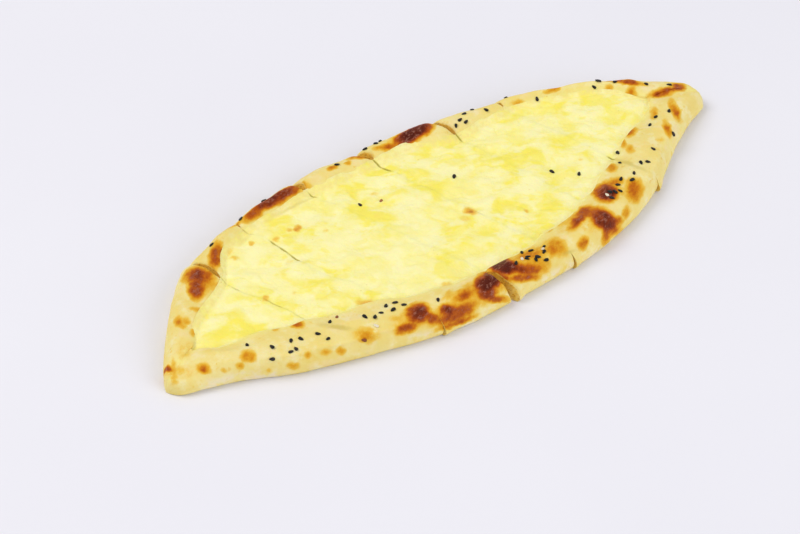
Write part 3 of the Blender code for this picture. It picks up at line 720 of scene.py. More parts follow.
def write_mesh(name, points, faces, fields, material):
    """A mesh object from millimetre points, with one number per point for each field."""
    mesh = bpy.data.meshes.new(name)
    moved = (points - np.array([MIDDLE_X, MIDDLE_Y, 0.0])) * MM
    mesh.from_pydata(moved.tolist(), [], faces)
    mesh.validate()
    for field, values in fields.items():
        layer = mesh.attributes.new(field, "FLOAT", "POINT")
        layer.data.foreach_set("value", np.asarray(values, dtype=np.float32))
    mesh.shade_smooth()
    mesh.set_sharp_from_angle(angle=math.radians(60.0))
    mesh.materials.append(material)
    piece = bpy.data.objects.new(name, mesh)
    bpy.context.scene.collection.objects.link(piece)
    return piece


def dress(kind, look, piece, points, faces, fields, material):
    """A slice's finished piece, in place of its solid."""
    made = write_mesh("%s_%d_%s" % (kind, piece + 1, look), points, faces, fields, material)
    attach(made, "root")
    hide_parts("%s_%d" % (kind, piece + 1))
    return made


def tube_faces(rows, count):
    """Quads of a closed tube of rows, facing outwards."""
    i = np.arange(rows - 1)[:, None] * count
    j = np.arange(count)[None, :]
    k = (j + 1) % count
    quads = np.stack([i + j, i + count + j, i + count + k, i + k], axis=-1)
    return quads.reshape(-1, 4).tolist()


def round_noses(p):
    """Draw the rows next to a tip together into a rounded nose."""
    x = p[..., 0]
    to_tip = np.minimum(x - LEFT_TIP, RIGHT_TIP - x)
    shrink = np.clip(1.0 - to_tip / TIP_ROUNDING, 0.0, 1.0)
    size = np.sqrt(np.maximum(1.0 - shrink ** 2, 0.02))
    middle = 0.5 * (p[..., 1].min(axis=1) + p[..., 1].max(axis=1))[:, None]
    p[..., 1] = middle + (p[..., 1] - middle) * size
    p[..., 2] *= 0.35 + 0.65 * size
    return p


def crust_piece(piece, material):
    """One slice's crust with its relief, cut faces, bottom and browning."""
    tip = piece in (0, len(CUTS))
    share = crowded(TIP_STATIONS if tip else MIDDLE_STATIONS, 0.55)
    near_foot = across(piece, share, lambda x: through(NEAR_FOOT, x), 0.0)
    far_foot = across(piece, share, lambda x: through(FAR_FOOT, x), 0.0)
    near_pocket = across(piece, share, near_edge, FLAP_EDGE_HEIGHT)
    far_pocket = across(piece, share, far_edge, FLAP_EDGE_HEIGHT)
    near = rim(piece, share, near_foot, near_pocket, NEAR_RIM_HEIGHT, -1.0)
    far = rim(piece, share, far_foot, far_pocket, FAR_RIM_HEIGHT, 1.0)[:, ::-1]
    t = np.linspace(0.0, 1.0, FLOOR_STEPS + 2)[None, 1:-1, None]
    floor = near[:, -1:] + t * (far[:, :1] - near[:, -1:])
    floor[..., 0] = place(piece, share[:, None], floor[..., 1], floor[..., 2])
    t = np.linspace(0.0, 1.0, BOTTOM_STEPS + 2)[None, 1:-1, None]
    bottom = far[:, -1:] + t * (near[:, :1] - far[:, -1:])
    bottom[..., 0] = place(piece, share[:, None], bottom[..., 1], 0.0)
    here = flat(bottom[..., 0], bottom[..., 1])
    edge = np.sin(np.pi * t[..., 0]) ** 0.5
    bottom[..., 2] = 0.35 * edge * ease(-0.1, 0.7, layered(here, 8.0, 61))
    p = np.concatenate([near, floor, far, bottom], axis=1)
    if tip:
        p = round_noses(p)
    top = np.zeros(p.shape[1])
    top[:near.shape[1] + FLOOR_STEPS + far.shape[1]] = 1.0
    x, y, z = p[..., 0], p[..., 1], p[..., 2]
    first = near.shape[1] + FLOOR_STEPS
    crest = first + np.argmax(z[:, first:first + far.shape[1]], axis=1)[:, None]
    column = np.arange(p.shape[1])[None, :]
    outside = (column > crest) & (column < first + far.shape[1])
    crest_z = np.take_along_axis(z, crest, axis=1)
    level = np.where(outside, crest_z, z)
    seen_x = x - SIGHT_X * (BROWN_LEVEL - level)
    seen_y = y - SIGHT_Y * (BROWN_LEVEL - level)
    seen_y = seen_y + np.where(outside, FAR_SIDE_RUN * (crest_z - z), 0.0)
    browned = spots_on_bread(BROWN_READINGS, BROWN_LEVEL) + GOLDEN
    brown = patches(browned, seen_x, seen_y) * top
    # Olive marks along cuts and folds: partly torn crumb, partly painted shade in the folds and grooves
    smear_and_fold_shade = patches(CRUMB_SMEARS_AND_FOLD_SHADE, seen_x, seen_y) * top
    to_edge = np.minimum(np.abs(y - near_edge(x)), np.abs(y - far_edge(x)))
    outer = np.minimum(np.abs(y - through(NEAR_FOOT, x)), np.abs(y - through(FAR_FOOT, x)))
    raised = ease(0.6, 3.0, z) * top
    stretched = flat(0.35 * x, y, z)
    relief = (
        0.26 * noise(p, 10.0, 71) + 0.17 * layered(stretched, 4.5, 74)
        + 0.06 * noise(p, 1.8, 77) + 0.035 * noise(p, 0.9, 78)
        + brown * (0.34 * np.maximum(0.0, layered(p, 3.4, 81)) + 0.10 * noise(p, 1.2, 84))
        - 0.5 * np.maximum(0.0, noise(p, 5.0, 86) - 0.55)
    ) * (0.25 + 0.75 * ease(0.5, 4.0, to_edge))
    if piece == 0:
        end = (1.0 - share)[:, None] * LEFT_END_LENGTH
    elif tip:
        end = share[:, None] * RIGHT_END_LENGTH
    else:
        end = np.minimum(share, 1.0 - share)[:, None] * SLICE_WIDTH * MIDDLE_ALLOWANCE
    ends = np.zeros_like(x)
    for cut, side in ((piece - 1, share < 0.5), (piece, share >= 0.5)):
        if 0 <= cut < len(CUTS):
            gape = np.where(y > 0.0, GAPES[cut][0], GAPES[cut][1])
            opened = np.clip((gape - 0.6) / 2.5, 0.0, 1.0)
            ends = ends + side[:, None] * opened * ease(9.0, 15.0, np.abs(y - 3.0))
    rounding = (0.55 * np.exp(-(end / 0.55) ** 2) + 0.30 * np.exp(-(end / 1.6) ** 2)) * ends
    relief = relief - rounding * ease(2.0, 6.0, z)
    p = p + grid_normals(p) * (relief * raised)[..., None]
    p[..., 2] = np.maximum(p[..., 2], 0.0)
    p[..., 1] += 0.5 * layered(flat(x, y), 7.0, 88) * ease(4.0, 1.0, z) * np.minimum(outer, 3.0) / 3.0
    rows, count = p.shape[:2]
    points = [p.reshape(-1, 3)]
    faces = tube_faces(rows, count)
    total = rows * count
    soft_edge = np.exp(-(to_edge / 3.2) ** 2) * ease(9.0, 11.0, z / tip_share(x))
    looks = {
        "browned": brown, "crumb": np.zeros((rows, count)),
        "under": np.broadcast_to(1.0 - top, (rows, count)),
        "cheesy": soft_edge * ease(4.0, 9.0, outer),
        "smear_and_fold_shade": smear_and_fold_shade, "low": ease(10.5, 5.0, z / tip_share(x)),
    }
    looks = {field: [values.reshape(-1)] for field, values in looks.items()}
    for row, at, into in ((0, 0.0, 1.0), (rows - 1, 1.0, -1.0)):
        at_tip = (piece == 0 and row == 0) or (piece == len(CUTS) and row > 0)
        new, away, triangles = cut_face(piece, at, p[row], into, 0.9 if not at_tip else 0.5)
        if at_tip:
            new[:, 0] = p[row, 0, 0]
        names = np.concatenate([row * count + np.arange(count), total + np.arange(len(new))])
        turned = [tuple(int(names[v]) for v in t) for t in triangles]
        if into > 0.0:
            turned = [t[::-1] for t in turned]
        faces.extend(turned)
        points.append(new)
        total += len(new)
        for values in looks.values():
            values.append(np.zeros(len(new)))
        if not at_tip:
            looks["crumb"][-1] = ease(0.0, 0.8, away)
    fields = {field: np.concatenate(values) for field, values in looks.items()}
    return dress("crust", "baked", piece, np.concatenate(points), faces, fields, material)


def draw_shreds():
    """Maps of how high and how pale the melted shreds are, one shred over another."""
    rng = np.random.default_rng(5)
    wide = int((SHRED_RIGHT - SHRED_LEFT) / SHRED_CELL)
    deep = int((SHRED_FAR - SHRED_NEAR) / SHRED_CELL)
    height = np.zeros((deep, wide))
    shade = np.full((deep, wide), 0.45)
    for _ in range(SHRED_COUNT):
        x, y = rng.uniform(SHRED_LEFT, SHRED_RIGHT), rng.uniform(SHRED_NEAR, SHRED_FAR)
        angle = rng.normal(0.5, 1.0)
        half = rng.uniform(2.0, 6.5)
        width = rng.uniform(0.7, 1.5)
        tall = rng.uniform(0.3, 1.0)
        tone = rng.beta(1.6, 1.6)
        bend = rng.uniform(-0.06, 0.06)
        reach = half + width + 1.0
        i0, i1 = int((x - reach - SHRED_LEFT) / SHRED_CELL), int((x + reach - SHRED_LEFT) / SHRED_CELL) + 1
        j0, j1 = int((y - reach - SHRED_NEAR) / SHRED_CELL), int((y + reach - SHRED_NEAR) / SHRED_CELL) + 1
        i0, j0 = max(i0, 0), max(j0, 0)
        i1, j1 = min(i1, wide), min(j1, deep)
        if i1 <= i0 or j1 <= j0:
            continue
        gx = SHRED_LEFT + (np.arange(i0, i1) + 0.5) * SHRED_CELL - x
        gy = SHRED_NEAR + (np.arange(j0, j1) + 0.5) * SHRED_CELL - y
        gx, gy = np.meshgrid(gx, gy)
        u = gx * math.cos(angle) + gy * math.sin(angle)
        v = gy * math.cos(angle) - gx * math.sin(angle) - bend * u * u
        away = np.hypot(np.maximum(np.abs(u) - half, 0.0), v) / width
        form = np.clip(1.0 - away * away, 0.0, 1.0)
        window = (slice(j0, j1), slice(i0, i1))
        height[window] = np.maximum(height[window] * (1.0 - 0.5 * form), form * tall)
        cover = 0.8 * ease(0.0, 0.7, form)
        shade[window] += (tone - shade[window]) * cover
    for _ in range(SHRED_BLURS):
        height = blurred(height)
        shade = blurred(shade)
    return height, shade


def blurred(field):
    """The map with each cell mixed with its neighbours."""
    for axis in (0, 1):
        field = 0.5 * field + 0.25 * (np.roll(field, 1, axis=axis) + np.roll(field, -1, axis=axis))
    return field


def read_map(field, x, y):
    """Values of a map at places, blended between its cells."""
    u = np.clip((x - SHRED_LEFT) / SHRED_CELL - 0.5, 0.0, field.shape[1] - 1.001)
    v = np.clip((y - SHRED_NEAR) / SHRED_CELL - 0.5, 0.0, field.shape[0] - 1.001)
    i, j = u.astype(int), v.astype(int)
    s, t = u - i, v - j
    low = field[j, i] * (1.0 - s) + field[j, i + 1] * s
    high = field[j + 1, i] * (1.0 - s) + field[j + 1, i + 1] * s
    return low * (1.0 - t) + high * t


def crack(cut, y):
    """How wide a cut still stands open in the cheese."""
    wide = 0.0 * y
    for row, low, high, width in CRACKS:
        if row == cut:
            part = ease(low - 1.0, low + 4.0, y) * ease(high + 1.0, high - 4.0, y)
            ragged = 0.8 + 0.5 * noise(flat(3.0 * cut, y), 5.0, 91)
            wide = np.maximum(wide, width * part * np.clip(ragged, 0.3, 1.2))
    return wide


def cheese_piece(piece, maps, material):
    """One slice's melted cheese, with shreds, cracks at the cuts and toasted places."""
    last = len(CUTS)
    share = crowded({0: 118, last: 140}.get(piece, 96), 0.5)[:, None]
    part = crowded(210 if 0 < piece < last else 170, 0.3)[None, :]

    def first_x(y):
        if piece == 0:
            return POCKET_START - 1.5
        return cut_line(piece - 1, y) + 0.5 * crack(piece - 1, y)

    def last_x(y):
        if piece == last:
            return POCKET_END + 1.5
        return cut_line(piece, y) - 0.5 * crack(piece, y)

    y = np.zeros((share.shape[0], part.shape[1]))
    for _ in range(12):
        x = first_x(y) + share * (last_x(y) - first_x(y))
        low, high = near_edge(x) - NEAR_LAP, far_edge(x) + FAR_LAP
        y = low + part * (high - low)
    shred_height, shred_shade = maps
    raised, tone = read_map(shred_height, x, y), read_map(shred_shade, x, y)
    here = flat(x, y)
    z = cheese_height(x, y, part)
    near_out, far_out = low + NEAR_LAP - y, y - high + FAR_LAP
    for out, lap, slope in ((near_out, NEAR_LAP, 0.0), (far_out, FAR_LAP, 0.25)):
        dough = FLAP_EDGE_HEIGHT - FLAP_FALL + 0.62 * out + slope * np.maximum(0.0, out - FLAP_ROUNDING)
        lapped = LAP_THICKNESS - (LAP_THICKNESS + 0.35) * np.maximum(0.0, out / lap) ** 1.6
        film = crust_height(x, y, dough + lapped)
        climb = np.exp(-(np.minimum(out, 0.0) / 2.4) ** 2)
        z = z + climb * (film - z)
    to_rim = np.maximum(0.0, -np.maximum(near_out, far_out))
    rimward = np.exp(-(to_rim / 2.2) ** 2)
    free = ease(0.0, 3.5, to_rim)
    z = z + free * (0.30 * raised + 0.34 * layered(here, 8.0, 95) + 0.05 * noise(here, 1.3, 98))
    to_end = np.maximum(0.0, np.minimum(x - POCKET_START, POCKET_END - x))
    z = z - 1.6 * np.exp(-(to_end / 5.0) ** 2)
    # Painted shade: a dark olive line along each cut that still stands open in the cheese
    crack_shade = 0.0 * x
    for cut in (piece - 1, piece):
        if 0 <= cut < last:
            away = np.abs(x - cut_line(cut, y)) - 0.5 * crack(cut, y)
            opened = np.clip(crack(cut, y) / 0.26, 0.0, 1.0)
            z = z - 0.5 * opened * np.exp(-(away / 0.7) ** 2) - 0.30 * opened * np.exp(-(away / 2.5) ** 2)
            crack_shade = np.maximum(crack_shade, opened * np.exp(-(away / 0.6) ** 2))
    turned_x = (x * STREAK_TURN[0] + y * STREAK_TURN[1]) * 0.7
    turned_y = y * STREAK_TURN[0] - x * STREAK_TURN[1]
    bent = flat(turned_x + 1.5 * noise(here, 9.0, 111), turned_y + 1.5 * noise(here, 9.0, 112))
    crease = np.exp(-(layered(bent, 10.0, 113, 2) / 0.20) ** 2)
    crease = crease * np.clip(0.45 + 1.1 * noise(here, 20.0, 116), 0.0, 1.0)
    z = z + free * (0.42 * noise(bent, 8.0, 117) - 0.42 * crease)
    toasted = spots_on_bread(TOAST_READINGS, TOAST_LEVEL) + MORE_TOAST
    toast = patches(toasted, x, y)
    z = z + 0.2 * toast * noise(here, 2.2, 99)
    lemon = patches(LEMON, x, y)
    top = np.stack([x, y, z], axis=-1)
    rows, count = x.shape
    border = (
        [(0, k) for k in range(count)] + [(k, count - 1) for k in range(1, rows)]
        + [(rows - 1, k) for k in range(count - 2, -1, -1)] + [(k, 0) for k in range(rows - 2, 0, -1)]
    )
    index = np.array([i * count + j for i, j in border])
    rim_points = top.reshape(-1, 3)[index]
    floor = BASE_THICKNESS + 0.1
    skirt = []
    for level in SKIRT_LEVELS:
        ring = rim_points.copy()
        ring[:, 2] = rim_points[:, 2] + level * (floor - rim_points[:, 2])
        skirt.append(ring)
    i = np.arange(rows - 1)[:, None] * count
    j = np.arange(count - 1)[None, :]
    quads = np.stack([i + j, i + count + j, i + count + j + 1, i + j + 1], axis=-1)
    faces = quads.reshape(-1, 4).tolist()
    total = rows * count
    ring_before = index
    for _ in SKIRT_LEVELS:
        ring = total + np.arange(len(index))
        a, b = ring_before, np.roll(ring_before, -1)
        c, d = np.roll(ring, -1), ring
        faces.extend(np.stack([a, b, c, d], axis=-1).tolist())
        ring_before = ring
        total += len(index)
    faces.append(ring_before[::-1].tolist())
    fields = {
        "tone": tone.reshape(-1), "crease": crease.reshape(-1), "toast": toast.reshape(-1),
        "crack_shade": crack_shade.reshape(-1), "lemon": lemon.reshape(-1),
        "rimward": rimward.reshape(-1), "smear_and_fold_shade": patches(CRUMB_SMEARS_AND_FOLD_SHADE, x, y).reshape(-1),
    }
    # The cheese's sides are painted half dark with the same crack shade
    side = {"crack_shade": 0.5, "tone": 0.5}
    for field, values in fields.items():
        extra = np.full(len(SKIRT_LEVELS) * len(index), side.get(field, 0.0))
        fields[field] = np.concatenate([values, extra])
    points = np.concatenate([top.reshape(-1, 3)] + skirt)
    return dress("cheese", "melted", piece, points, faces, fields, material)


def seed_form(rng, sides=14, rings=9):
    """Points and faces of one flattened drop, a little uneven."""
    points = [(-0.5, 0.0, 0.0)]
    for k in range(1, rings):
        angle = math.pi * k / rings
        along = -0.5 * math.cos(angle)
        girth = 0.5 * math.sin(angle) ** 0.85 * (1.0 - 0.62 * along)
        for j in range(sides):
            turn = TAU * j / sides
            points.append((along, girth * math.cos(turn), girth * math.sin(turn)))
    points.append((0.5, 0.0, 0.0))
    points = np.array(points)
    bump = 1.0 + 0.07 * noise(points * 9.0 + rng.uniform(0.0, 50.0), 1.6, 15)[:, None]
    faces = []
    last = len(points) - 1
    for j in range(sides):
        k = (j + 1) % sides
        faces.append((0, 1 + k, 1 + j))
        faces.append((last, last - sides + j, last - sides + k))
        for ring in range(rings - 2):
            a = 1 + ring * sides
            faces.append((a + j, a + k, a + sides + k, a + sides + j))
    return points * bump, faces


def seat(column, row, carriers):
    """Spot and normal of the bread where the camera sees a seed, or on the rim behind it."""
    camera = Vector(CAMERA_PLACE)
    hits = [carrier.ray_cast(camera, Vector(sight(column, row))) for carrier in carriers]
    seen = [(spot, normal) for hit, spot, normal, _ in hits if hit]
    if seen:
        return min(seen, key=lambda found: (found[0] - camera).length)
    x, y = on_bread(column, row, FAR_RIM_HEIGHT)
    above = Vector(((x - MIDDLE_X) * MM, (y - MIDDLE_Y) * MM, 0.1))
    hits = [carrier.ray_cast(above, Vector((0.0, 0.0, -1.0))) for carrier in carriers]
    under = [(spot, normal) for hit, spot, normal, _ in hits if hit]
    return max(under, key=lambda found: found[0].z) if under else None


def lay_seeds(name, places, carriers, material, scale, draw):
    """Seeds of one kind as one piece, each seated on the surface under it."""
    rng = np.random.default_rng(draw)
    points, faces, tones = [], [], []
    total = 0
    for column, row in places:
        best = seat(column, row, carriers)
        form, mesh_faces = seed_form(rng)
        size = rng.uniform(0.88, 1.08) * scale
        form = form * np.array([SEED_LENGTH, SEED_WIDTH, SEED_THICKNESS]) * size
        turn = rng.uniform(0.0, TAU)
        tilt = rng.uniform(-0.2, 0.2)
        if best is None:
            continue
        spot, normal = best
        lean = normal.to_track_quat("Z", "Y").to_matrix()
        spin = lean @ Matrix.Rotation(turn, 3, "Z") @ Matrix.Rotation(tilt, 3, "Y")
        lift = normal * (0.5 * SEED_THICKNESS * size - SEED_SINK) * MM
        moved = form @ np.array(spin).T * MM + np.array(spot + lift)
        points.append(moved / MM + np.array([MIDDLE_X, MIDDLE_Y, 0.0]))
        faces.extend(tuple(v + total for v in face) for face in mesh_faces)
        total += len(form)
        tones.append(np.full(len(form), rng.uniform(0.0, 1.0)))
    made = write_mesh(name, np.concatenate(points), faces, {"tone": np.concatenate(tones)}, material)
    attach(made, "root")
    return made


class Nodes:
    """Short ways to add and join shader nodes."""

    def __init__(self, name):
        self.material = bpy.data.materials.new(name)
        self.material.use_nodes = True
        self.tree = self.material.node_tree
        self.shader = self.tree.nodes["Principled BSDF"]

    def put(self, value, socket):
        if isinstance(value, bpy.types.NodeSocket):
            self.tree.links.new(value, socket)
        else:
            socket.default_value = value

    def add(self, kind, **settings):
        node = self.tree.nodes.new(kind)
        for name, value in settings.items():
            setattr(node, name, value)
        return node

    def field(self, name):
        return self.add("ShaderNodeAttribute", attribute_name=name).outputs["Fac"]

    def place(self):
        return self.add("ShaderNodeTexCoord").outputs["Object"]

    def stretch(self, scale, turn=0.0):
        node = self.add("ShaderNodeMapping", vector_type="TEXTURE")
        self.put(self.place(), node.inputs["Vector"])
        node.inputs["Scale"].default_value = scale
        node.inputs["Rotation"].default_value = (0.0, 0.0, turn)
        return node.outputs["Vector"]

    def noise(self, scale, detail=3.0, rough=0.55, vector=None, distortion=0.0):
        node = self.add("ShaderNodeTexNoise")
        self.put(vector if vector is not None else self.place(), node.inputs["Vector"])
        node.inputs["Scale"].default_value = scale
        node.inputs["Detail"].default_value = detail
        node.inputs["Roughness"].default_value = rough
        node.inputs["Distortion"].default_value = distortion
        return node.outputs["Fac"]

    def cells(self, scale, feature="F1", vector=None):
        node = self.add("ShaderNodeTexVoronoi", feature=feature)
        self.put(vector if vector is not None else self.place(), node.inputs["Vector"])
        node.inputs["Scale"].default_value = scale
        return node.outputs["Distance"]

    def math(self, kind, a, b=0.0, clamp=False):
        node = self.add("ShaderNodeMath", operation=kind, use_clamp=clamp)
        self.put(a, node.inputs[0])
        self.put(b, node.inputs[1])
        return node.outputs[0]

    def times(self, a, b, clamp=False):
        return self.math("MULTIPLY", a, b, clamp)

    def plus(self, a, b, clamp=False):
        return self.math("ADD", a, b, clamp)

    def swing(self, value, gain):
        return self.times(self.math("SUBTRACT", value, 0.5), gain)

    def range(self, value, low, high, out_low=0.0, out_high=1.0):
        node = self.add("ShaderNodeMapRange", interpolation_type="SMOOTHSTEP")
        self.put(value, node.inputs["Value"])
        limits = {"From Min": low, "From Max": high, "To Min": out_low, "To Max": out_high}
        for name, number in limits.items():
            node.inputs[name].default_value = number
        return node.outputs["Result"]

    def mix(self, share, a, b, blend="MIX"):
        node = self.add("ShaderNodeMix", data_type="RGBA", blend_type=blend)
        self.put(share, node.inputs[0])
        for value, socket in ((a, node.inputs[6]), (b, node.inputs[7])):
            self.put(value if isinstance(value, bpy.types.NodeSocket) else (*value, 1.0), socket)
        return node.outputs[2]

    def ramp(self, value, stops):
        node = self.add("ShaderNodeValToRGB")
        self.put(value, node.inputs["Fac"])
        ramp = node.color_ramp
        while len(ramp.elements) < len(stops):
            ramp.elements.new(0.5)
        for element, (at, colour) in zip(ramp.elements, stops):
            element.position = at
            element.color = (*colour, 1.0)
        return node.outputs["Color"]

    def bump(self, height, distance, strength=1.0, normal=None):
        node = self.add("ShaderNodeBump")
        node.inputs["Strength"].default_value = strength
        node.inputs["Distance"].default_value = distance
        self.put(height, node.inputs["Height"])
        if normal is not None:
            self.put(normal, node.inputs["Normal"])
        return node.outputs["Normal"]

    def glow(self, share, radius, scale):
        self.shader.inputs["Subsurface Weight"].default_value = share
        self.shader.inputs["Subsurface Radius"].default_value = radius
        self.shader.inputs["Subsurface Scale"].default_value = scale

    def finish(self, colour, roughness, normal):
        self.put(colour, self.shader.inputs["Base Color"])
        self.put(roughness, self.shader.inputs["Roughness"])
        self.put(normal, self.shader.inputs["Normal"])
        return self.material


def crust_material():
    """Baked dough: cream with golden places, dark scorched blisters with a painted sheen, and open crumb
    with painted shade in its pores.
    """
    n = Nodes("baked dough")
    broad = n.noise(55.0, 3.0)
    fine = n.noise(420.0, 4.0, 0.6)
    speckle = n.noise(1500.0, 2.0, 0.6)
    cream = n.mix(n.range(broad, 0.36, 0.66), (0.82, 0.655, 0.20), (0.84, 0.71, 0.275))
    cream = n.mix(n.range(fine, 0.50, 0.78, 0.0, 0.40), cream, (0.80, 0.56, 0.11))
    golden = n.range(n.noise(34.0, 4.0, 0.6, n.stretch((1.0, 1.0, 0.5))), 0.56, 0.74, 0.0, 0.55)
    cream = n.mix(golden, cream, (0.80, 0.58, 0.085))
    flour = n.range(n.noise(110.0, 4.0, 0.65), 0.50, 0.68, 0.0, 0.45)
    cream = n.mix(flour, cream, (0.86, 0.79, 0.47))
    streaked = n.noise(60.0, 3.0, 0.6, n.stretch((1.4, 1.0, 1.0), STREAK_ANGLE))
    rosy = n.range(streaked, 0.54, 0.66, 0.0, 0.35)
    cream = n.mix(rosy, cream, (0.86, 0.70, 0.42))
    lilac = n.range(n.noise(75.0, 3.0, 0.6), 0.52, 0.64, 0.0, 0.55)
    cream = n.mix(n.times(lilac, n.field("low")), cream, (0.84, 0.75, 0.60))
    cream = n.mix(n.times(n.field("cheesy"), 0.75), cream, (0.88, 0.77, 0.25))
    freckles = n.range(n.noise(240.0, 3.0, 0.6), 0.60, 0.70)
    freckles = n.times(freckles, n.range(n.noise(48.0, 2.0), 0.46, 0.60))
    cream = n.mix(n.times(freckles, 0.6), cream, (0.78, 0.50, 0.05))
    dots = n.range(n.cells(300.0), 0.0, 0.10, 1.0, 0.0)
    sparse = n.range(n.noise(70.0, 2.0), 0.58, 0.64)
    cream = n.mix(n.times(n.times(dots, sparse), 0.7), cream, (0.45, 0.28, 0.05))
    brown = n.field("browned")
    middle = n.noise(210.0, 4.0, 0.6, n.stretch((1.5, 1.0, 1.0), 0.62))
    edge = n.times(brown, n.math("SUBTRACT", 1.15, brown))
    stir = n.plus(n.swing(middle, 2.4), n.swing(speckle, 0.5))
    burn = n.plus(brown, n.times(stir, edge), clamp=True)
    baked = n.ramp(burn, (
        (0.0, (0.82, 0.64, 0.19)), (0.14, (0.80, 0.53, 0.075)), (0.30, (0.72, 0.35, 0.014)),
        (0.46, (0.56, 0.17, 0.002)), (0.60, (0.42, 0.082, 0.001)), (0.76, (0.24, 0.032, 0.001)),
        (0.90, (0.13, 0.014, 0.001)), (1.0, (0.085, 0.008, 0.001)),
    ))
    colour = n.mix(n.range(burn, 0.02, 0.16), cream, baked)
    # Olive marks: partly torn crumb and partly painted shade in the folds and grooves along the cuts
    colour = n.mix(n.times(n.field("smear_and_fold_shade"), 0.9), colour, (0.60, 0.47, 0.10))
    # Painted sheen: pale violet-brown streaks on the darkest browned places stand in for the glossy
    # highlights on the scorched blisters
    sheen = n.noise(420.0, 5.0, 0.75, n.stretch((1.8, 1.0, 1.0), 0.3))
    painted_sheen = n.times(n.range(sheen, 0.50, 0.62), n.range(burn, 0.50, 0.75, 0.0, 0.50))
    colour = n.mix(painted_sheen, colour, (0.42, 0.18, 0.12))
    crumb = n.field("crumb")
    # Painted shade: the crumb turns deep golden towards the middle of each pore, as shade in its hollow;
    # the same cells also shape the crumb's bump
    pore_hollows_and_shade = n.range(n.cells(700.0, vector=n.stretch((1.6, 1.0, 0.7))), 0.05, 0.50)
    open_crumb = n.mix(pore_hollows_and_shade, (0.62, 0.31, 0.015), (0.84, 0.52, 0.07))
    open_crumb = n.mix(n.range(n.noise(300.0, 3.0), 0.44, 0.68, 0.0, 0.5), open_crumb, (0.88, 0.68, 0.20))
    colour = n.mix(crumb, colour, open_crumb)
    below = n.ramp(n.noise(90.0, 5.0, 0.65), (
        (0.30, (0.84, 0.68, 0.34)), (0.48, (0.72, 0.48, 0.16)),
        (0.62, (0.52, 0.27, 0.06)), (0.74, (0.30, 0.12, 0.03)),
    ))
    colour = n.mix(n.field("under"), colour, below)
    rough = n.range(burn, 0.35, 0.80, 0.62, 0.40)
    rough = n.plus(rough, n.swing(fine, 0.25))
    wrinkle = n.noise(900.0, 4.0, 0.65)
    crackle = n.cells(520.0, "DISTANCE_TO_EDGE")
    normal = n.bump(wrinkle, 0.00022, 0.7)
    scorched = n.times(n.range(crackle, 0.0, 0.12), n.range(burn, 0.4, 0.8))
    normal = n.bump(scorched, 0.00016, 0.6, normal)
    normal = n.bump(n.times(pore_hollows_and_shade, crumb), 0.0004, 0.7, normal)
    n.shader.inputs["Specular IOR Level"].default_value = 0.13
    n.glow(0.12, (1.0, 0.55, 0.2), 0.0014)
    return n.finish(colour, rough, normal)


